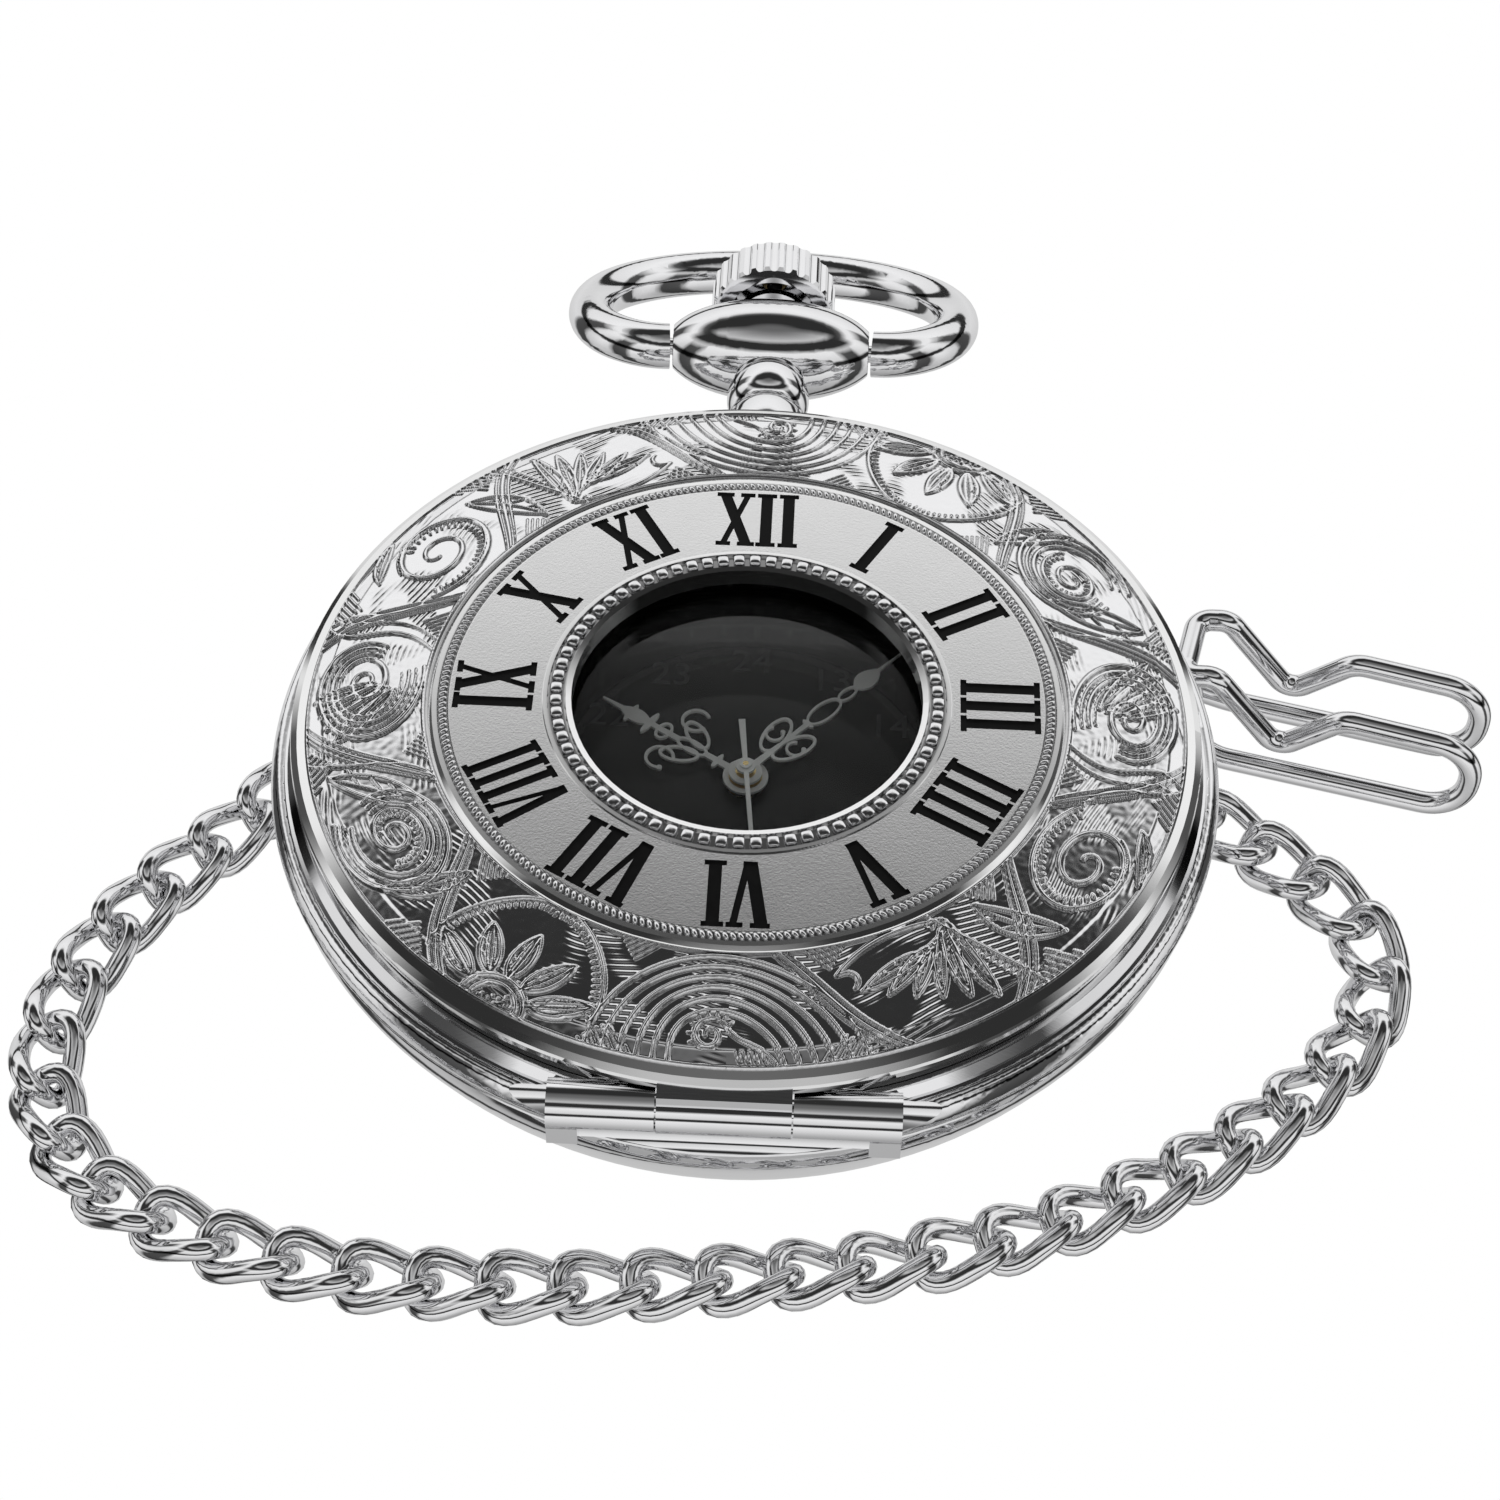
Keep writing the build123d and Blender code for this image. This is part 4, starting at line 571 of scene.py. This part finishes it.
def ornament():
    """Half of the cover's scrollwork, from 12 o'clock clockwise to 6; the other half repeats it."""
    s = Strokes()
    hour = math.radians(30) * FIELD_MID
    top, low = 2.42, -2.42
    # 12: nested arches on the rim, with a small volute and stitches inside
    for half_width, height in ((5.6, 4.7), (4.9, 4.25), (4.2, 3.8), (3.5, 3.35), (2.85, 2.85), (2.25, 2.3)):
        for shift in (0.0, 6 * hour):
            arch = []
            for i in range(33):
                a = math.pi * i / 32
                x = shift - half_width * math.cos(a) + 0.5 * math.sin(a)
                arch.append((x, top - height * math.sin(a) ** 0.9))
            s.line(arch, 0.10, 0.12)
    for shift in (0.0, 6 * hour):
        volute = s.spiral(shift + 0.75, 1.2, 0.85, 0.15, 200, 1.5, 0.09)
        s.comb(volute[:24], 0.3, -0.32)
        s.curve([(shift - 2.0, top), (shift - 1.4, 1.4), (shift - 0.4, 1.6), (shift + 0.1, 0.75)], 0.08)
        for k in range(4):
            s.line([(shift - 1.55 + 0.33 * k, 2.25), (shift - 1.4 + 0.33 * k, 1.75)], 0.06, 0.09)
    # 1: a flower that opens from the rim
    c = hour
    s.about(c, 1.25)
    for k in range(5):
        a = math.radians(205 + 32.5 * k)
        tip = (c + 3.5 * math.cos(a), top + 3.5 * math.sin(a) * 0.98)
        root = (c + 1.15 * math.cos(a), top + 1.15 * math.sin(a))
        s.leaf(root, tip, 0.28, 0.1, veins=2)
        s.leaf(root, tip, -0.28, 0.1, veins=0)
    for r in (1.15, 0.85):
        turns = [math.radians(a) for a in range(180, 361, 8)]
        arc = [(c + r * math.cos(a), top + r * math.sin(a)) for a in turns]
        s.line(arc, 0.09, 0.12, taper=False)
    for k in range(26):
        a, r = rng.uniform(185, 355), rng.uniform(0.1, 0.7)
        x, y = c + r * math.cos(math.radians(a)), top + r * math.sin(math.radians(a))
        s.line([(x, y), (x + 0.02, y)], 0.06, 0.08, taper=False)
    wreath = s.curve([(c - 3.2, 1.6), (c - 3.9, -0.4), (c - 1.6, -2.9), (c, low)], 0.09)
    s.comb(wreath, 0.3, 0.42)
    wreath = s.curve([(c + 3.1, 1.8), (c + 3.9, -0.4), (c + 1.6, -2.9), (c, low)], 0.09)
    s.comb(wreath, 0.3, -0.42)
    # 2: an oval medallion of nested turns with a leaf growing out of it
    c = 2 * hour
    s.about(c, 1.62)
    for r, half in ((2.35, 0.11), (2.0, 0.07), (1.68, 0.10)):
        s.spiral(c - 0.1, 0.0, r, r * 0.72, 60, 0.9, half)
    volute = s.spiral(c, 0.0, 1.3, 0.16, 150, 1.9, 0.10)
    s.comb(volute[:34], 0.27, 0.28)
    s.leaf((c + 0.6, -1.6), (c + 2.6, 1.7), -0.3, 0.09)
    s.leaf((c - 1.5, 1.6), (c - 2.7, -1.5), -0.28, 0.09)
    s.curve([(c + 1.5, low), (c + 3.0, -1.7), (c + 2.6, 0.6), (c + 3.3, top)], 0.09)
    # 3: the large scroll, nested turns round a curling leaf
    c = 3 * hour
    s.about(c, 1.62)
    for r, half in ((2.45, 0.12), (2.1, 0.07), (1.8, 0.10), (1.5, 0.06)):
        s.spiral(c, 0.05, r, r * 0.7, -70, -0.85, half)
    s.spiral(c + 0.1, 0.1, 1.15, 0.14, 80, -1.7, 0.11)
    for k in range(4):
        s.leaf((c - 0.2 + 0.1 * k, -1.2 + 0.3 * k), (c - 2.2 + 0.55 * k, 1.35 + 0.28 * k), 0.22, 0.085, veins=1)
    s.curve([(c + 2.2, top), (c + 1.3, 1.0), (c + 2.7, 0.2), (c + 2.5, -1.2), (c + 1.6, low)], 0.1)
    s.curve([(c + 2.6, top), (c + 1.9, 1.2), (c + 3.1, 0.2), (c + 2.9, -1.2), (c + 2.1, low)], 0.07)
    # 4: a volute with stitches inside its rim
    c = 4 * hour
    s.about(c, 1.62)
    rim = s.spiral(c, 0.1, 2.3, 0.2, 215, 2.1, 0.12)
    s.comb(rim[:30], 0.3, 0.42, 0.06)
    s.spiral(c, 0.1, 2.02, 1.5, 225, 0.8, 0.06)
    s.curve([(c - 2.0, -1.2), (c - 3.4, -0.6), (c - 3.0, 1.4), (c - 3.7, top)], 0.1)
    s.leaf((c - 1.9, 1.4), (c - 0.2, top - 0.1), 0.3, 0.08, veins=2)
    s.leaf((c + 2.2, 1.3), (c + 3.7, -1.9), 0.3, 0.09, veins=3)
    # 5: a wing of long leaves off a stitched stem
    c = 5 * hour
    s.about(c, 1.15)
    stem = s.curve([(c - 3.4, top), (c - 2.6, 0.6), (c - 2.2, -0.6), (c - 1.0, low)], 0.1)
    s.comb(stem, 0.3, 0.45)
    for k in range(6):
        base = (c - 1.7 + 0.28 * k, -1.9 + 0.18 * k)
        tip = (c - 1.6 + 0.95 * k, 1.9 - 0.42 * k)
        s.leaf(base, tip, -0.22, 0.085, veins=2)
    s.curve([(c - 1.6, -2.0), (c + 0.6, -2.6), (c + 2.6, -2.3), (c + 4.0, -1.1)], 0.11)
    s.curve([(c + 3.9, -1.1), (c + 3.2, -1.4), (c + 2.9, -0.7), (c + 3.4, -0.4)], 0.09)
    s.about(0.0, 1.0)
    # long parallel lines that part the motifs
    for k in range(1, 6):
        c = (k + 0.5) * hour
        lean = 1 if k % 2 else -1
        for shift, half in ((-0.38, 0.06), (0.0, 0.10), (0.38, 0.06)):
            bends = ((-2.3, top), (-0.3, 1.2), (0.4, -1.0), (2.4, low))
            s.curve([(c + u * lean + shift, v) for u, v in bends], half)
    # fillers between the motifs, against both edges of the field
    for k in range(6):
        c = (k + 0.5) * hour
        s.hatch([(c - 1.3, top), (c + 1.3, top), (c + 0.1, 1.35)], angle=50 if k % 2 else -50)
        s.hatch([(c - 1.2, low), (c + 1.2, low), (c - 0.1, -1.45)], angle=-40 if k % 2 else 40)
    # border lines
    length = 6 * hour
    for v, half in ((top + 0.02, 0.07), (low - 0.02, 0.07)):
        s.line([(length * i / 400, v) for i in range(401)], half, 0.10, taper=False)
    return s.points


RELIEF_GROWN = 1.4
FLANK = 1.5  # how far a line's flank reaches, in half widths


def stroke_height(share):
    """Share of a line's rise at a distance from its middle, in half widths."""
    if share < 1:
        return math.sqrt(max(0.0, 1 - share * share * 0.72))
    return 0.53 * (FLANK - share) / (FLANK - 1)


def make_relief():
    """Two half rings of relief over the cover's sloping field."""
    points = ornament()
    tree = kdtree.KDTree(len(points))
    for i, (u, v, half, rise) in enumerate(points):
        tree.insert((u, v, 0), i)
    tree.balance()
    rows, columns = 108, 900
    heights = np.zeros((rows + 1, columns + 1))
    groove_shades = np.zeros((rows + 1, columns + 1))
    half_length = math.pi * FIELD_MID
    for j in range(columns + 1):
        u = half_length * j / columns
        for i in range(rows + 1):
            v = FIELD_IN + (FIELD_OUT - FIELD_IN) * i / rows - FIELD_MID
            best, groove_shade = 0.0, 0.0
            for co, index, distance in tree.find_n((u, v, 0), 2):
                _, _, half, rise = points[index]
                share = distance / half
                # painted shade: dark on each line's flank, just outside its edge
                groove_shade = max(groove_shade, math.exp(-(((share - 1.35) / 0.45) ** 2)))
                if share < FLANK:
                    best = max(best, rise * stroke_height(share))
            ruled = math.cos(2 * math.pi * (v + 0.5 * math.sin(0.55 * u)) / 0.3)
            patch = min(1.0, max(0.0, 4.0 * noise.noise(Vector((u * 0.45, v * 0.6, 3.0)))))
            ground = max(0.0, 1 - best / 0.05) * patch
            heights[i, j] = best * RELIEF_GROWN + ground * 0.02 * ruled
            # painted shade also in the troughs of the ruled ground
            groove_shades[i, j] = max(groove_shade, 0.55 * ground * max(0.0, -ruled))
    for turn in (0, 180):
        verts, faces = [], []
        for i in range(rows + 1):
            radius = FIELD_IN + (FIELD_OUT - FIELD_IN) * i / rows
            edge = min(1.0, i / 3, (rows - i) / 3)
            for j in range(columns + 1):
                x, y = polar(radius, turn + 180 * j / columns)
                ground = 0.006 * noise.noise(Vector((x * 3.1, y * 3.1, 0)))
                verts.append((x, y, cover_z(radius) - 0.03 + edge * (0.045 + ground + heights[i, j])))
        for i in range(rows):
            for j in range(columns):
                a = i * (columns + 1) + j
                faces.append((a, a + columns + 1, a + columns + 2, a + 1))
        relief = add_mesh(f"cover_relief_{turn}", verts, faces, ENGRAVED, "cover")
        # stores the painted shade for the relief material
        relief.data.attributes.new("groove_shade", "FLOAT", "POINT").data.foreach_set("value", groove_shades.ravel())


make_relief()


def block(centre, size, turn, power, cells):
    """A pillow-shaped block: a cube whose corners are rounded by a power."""
    verts, faces = [], []
    for axis in range(3):
        for sign in (-1, 1):
            base = len(verts)
            for i in range(cells + 1):
                for j in range(cells + 1):
                    p = [0.0, 0.0, 0.0]
                    p[axis] = sign
                    p[(axis + 1) % 3] = 2 * i / cells - 1
                    p[(axis + 2) % 3] = 2 * j / cells - 1
                    norm = sum(abs(c) ** power for c in p) ** (1 / power)
                    q = [c / norm * s / 2 for c, s in zip(p, size)]
                    a = math.radians(turn)
                    x, y = q[0] * math.cos(a) - q[1] * math.sin(a), q[0] * math.sin(a) + q[1] * math.cos(a)
                    verts.append((centre[0] + x, centre[1] + y, centre[2] + q[2]))
            for i in range(cells):
                for j in range(cells):
                    a = base + i * (cells + 1) + j
                    quad = (a, a + cells + 1, a + cells + 2, a + 1)
                    faces.append(quad if sign > 0 else quad[::-1])
    return verts, faces


def ring_of(name, radius, z, count, size, slant, power, cells):
    """A ring of equal blocks on the cover."""
    verts, faces = [], []
    for k in range(count):
        clock = 360 * k / count
        x, y = polar(radius, clock)
        more, loops = block((x, y, z), size, -clock + slant, power, cells)
        base = len(verts)
        verts += more
        faces += [tuple(base + i for i in f) for f in loops]
    ring = add_mesh(name, verts, faces, CHROME_RELIEF, "cover")


ring_of("bead_ring", 9.33, 14.47, 72, (0.60, 0.60, 0.42), 0, 4.0, 5)
ring_of("rope_ring", 14.825, 14.48, 264, (0.25, 0.48, 0.28), 30, 2.3, 4)


# ---------------------------------------------------------------- dial print
DIAL_Z = 8.0


def printed(name, text, radius, clock, height, material):
    """A number printed on the dial, upright at its place."""
    data = bpy.data.curves.new(name, "FONT")
    data.body = text
    data.size = height * 1.38 * MM
    data.align_x, data.align_y = "CENTER", "CENTER"
    data.extrude = 0.008 * MM
    obj = bpy.data.objects.new(name, data)
    mesh = bpy.data.meshes.new_from_object(obj)
    bpy.data.objects.remove(obj)
    mesh.name = name
    mesh.materials.clear()
    mesh.materials.append(material)
    x, y = polar(radius, clock)
    mesh.transform(Matrix.Translation(Vector((x, y, DIAL_Z + 0.012)) * MM))
    piece = bpy.data.objects.new(name, mesh)
    bpy.context.scene.collection.objects.link(piece)
    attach(piece, "case")


for hour in range(1, 13):
    printed(f"dial_inner_{hour + 12}", str(hour + 12), 8.35, 30 * hour, 1.6, PRINT)
    printed(f"dial_outer_{hour}", str(hour), 15.3, 30 * hour, 2.2, PRINT_WHITE)


def dial_track():
    """The minute track near the dial's edge."""
    verts, faces = [], []
    for minute in range(60):
        long = minute % 5 == 0
        half, r_in, r_out = (0.2, 17.1, 18.0) if long else (0.07, 17.4, 18.0)
        clock = 6 * minute
        ox, oy = polar(1.0, clock)
        base = len(verts)
        for r, side in ((r_in, -half), (r_in, half), (r_out, half), (r_out, -half)):
            verts.append((r * ox + side * oy, r * oy - side * ox, DIAL_Z + 0.02))
        faces.append((base, base + 3, base + 2, base + 1))
    for r in (16.9, 18.1):
        base = len(verts)
        for k in range(240):
            for radius in (r, r + 0.1):
                x, y = polar(radius, 1.5 * k)
                verts.append((x, y, DIAL_Z + 0.02))
        for k in range(240):
            a, b = base + 2 * k, base + 2 * ((k + 1) % 240)
            faces.append((a, a + 1, b + 1, b))
    track = add_mesh("dial_track", verts, faces, PRINT_WHITE, "case", smooth=False)


dial_track()


# ---------------------------------------------------------------- light
def make_world():
    """A white tent: pure white to the eye, with dark gaps for the metal to reflect."""
    world = bpy.data.worlds.new("tent")
    bpy.context.scene.world = world
    world.use_nodes = True
    tree = world.node_tree
    tree.nodes.clear()

    def add(kind):
        return tree.nodes.new(kind)

    def calc(operation, a, b=0.0):
        node = add("ShaderNodeMath")
        node.operation = operation
        for socket, value in zip(node.inputs, (a, b)):
            if hasattr(value, "links"):
                tree.links.new(value, socket)
            else:
                socket.default_value = value
        return node.outputs[0]

    def ramp(value, stops):
        node = add("ShaderNodeValToRGB")
        tree.links.new(value, node.inputs[0])
        while len(node.color_ramp.elements) < len(stops):
            node.color_ramp.elements.new(0.5)
        for element, (position, grey) in zip(node.color_ramp.elements, stops):
            element.position = position
            element.color = (grey, grey, grey, 1)
        return node.outputs["Color"]

    xyz = add("ShaderNodeSeparateXYZ")
    tree.links.new(add("ShaderNodeTexCoord").outputs["Generated"], xyz.inputs[0])
    x, y, z = xyz.outputs
    height = calc("ADD", calc("MULTIPLY", z, 0.5), 0.5)
    back = ramp(height, BACK_STOPS)
    front = ramp(height, FRONT_STOPS)
    facing = ramp(calc("ADD", calc("MULTIPLY", y, 0.5), 0.5), [(0.44, 0.0), (0.56, 1.0)])
    mix = add("ShaderNodeMixRGB")
    tree.links.new(facing, mix.inputs[0])
    tree.links.new(front, mix.inputs[1])
    tree.links.new(back, mix.inputs[2])
    flat = calc("SQRT", calc("ADD", calc("MULTIPLY", x, x), calc("MULTIPLY", y, y)))
    sideways = calc("ABSOLUTE", calc("DIVIDE", x, calc("MAXIMUM", flat, 0.01)))
    strips = ramp(sideways, SIDE_STOPS)
    lift = ramp(height, [(0.70, 0.0), (0.82, 1.0)])
    strips = calc("MAXIMUM", strips, lift)
    shade = add("ShaderNodeMixRGB")
    shade.blend_type = "MULTIPLY"
    shade.inputs[0].default_value = 1.0
    tree.links.new(mix.outputs[0], shade.inputs[1])
    tree.links.new(strips, shade.inputs[2])
    seen = add("ShaderNodeBackground")
    seen.inputs["Color"].default_value = (1, 1, 1, 1)
    seen.inputs["Strength"].default_value = 1.0
    lit = add("ShaderNodeBackground")
    tree.links.new(shade.outputs[0], lit.inputs["Color"])
    lit.inputs["Strength"].default_value = WORLD_STRENGTH
    choose = add("ShaderNodeMixShader")
    tree.links.new(add("ShaderNodeLightPath").outputs["Is Camera Ray"], choose.inputs[0])
    tree.links.new(lit.outputs[0], choose.inputs[1])
    tree.links.new(seen.outputs[0], choose.inputs[2])
    tree.links.new(choose.outputs[0], add("ShaderNodeOutputWorld").inputs["Surface"])


# grey of the tent by height (0 straight down, 0.5 the horizon, 1 straight up), behind the watch and in front
BACK_STOPS = [
    (0.0, 0.55), (0.40, 0.80), (0.485, 0.75), (0.50, 0.03), (0.555, 0.03), (0.575, 0.85),
    (0.80, 1.0), (0.852, 0.92), (0.875, 0.45), (0.89, 0.10), (0.915, 0.03), (0.985, 0.03), (1.0, 0.15),
]
FRONT_STOPS = [
    (0.0, 0.35), (0.25, 0.75), (0.45, 0.95), (0.487, 0.04), (0.56, 0.02), (0.60, 0.75),
    (0.78, 0.95), (0.84, 0.03), (0.91, 0.03), (0.94, 0.60), (1.0, 0.15),
]
SIDE_STOPS = [(0.0, 1.0), (0.72, 1.0), (0.80, 0.10), (0.93, 0.08), (0.97, 0.9), (1.0, 1.0)]
WORLD_STRENGTH = 1.0
make_world()


view = bpy.context.scene.view_settings
view.view_transform = "Standard"
view.look = "None"
view.exposure = 0.0
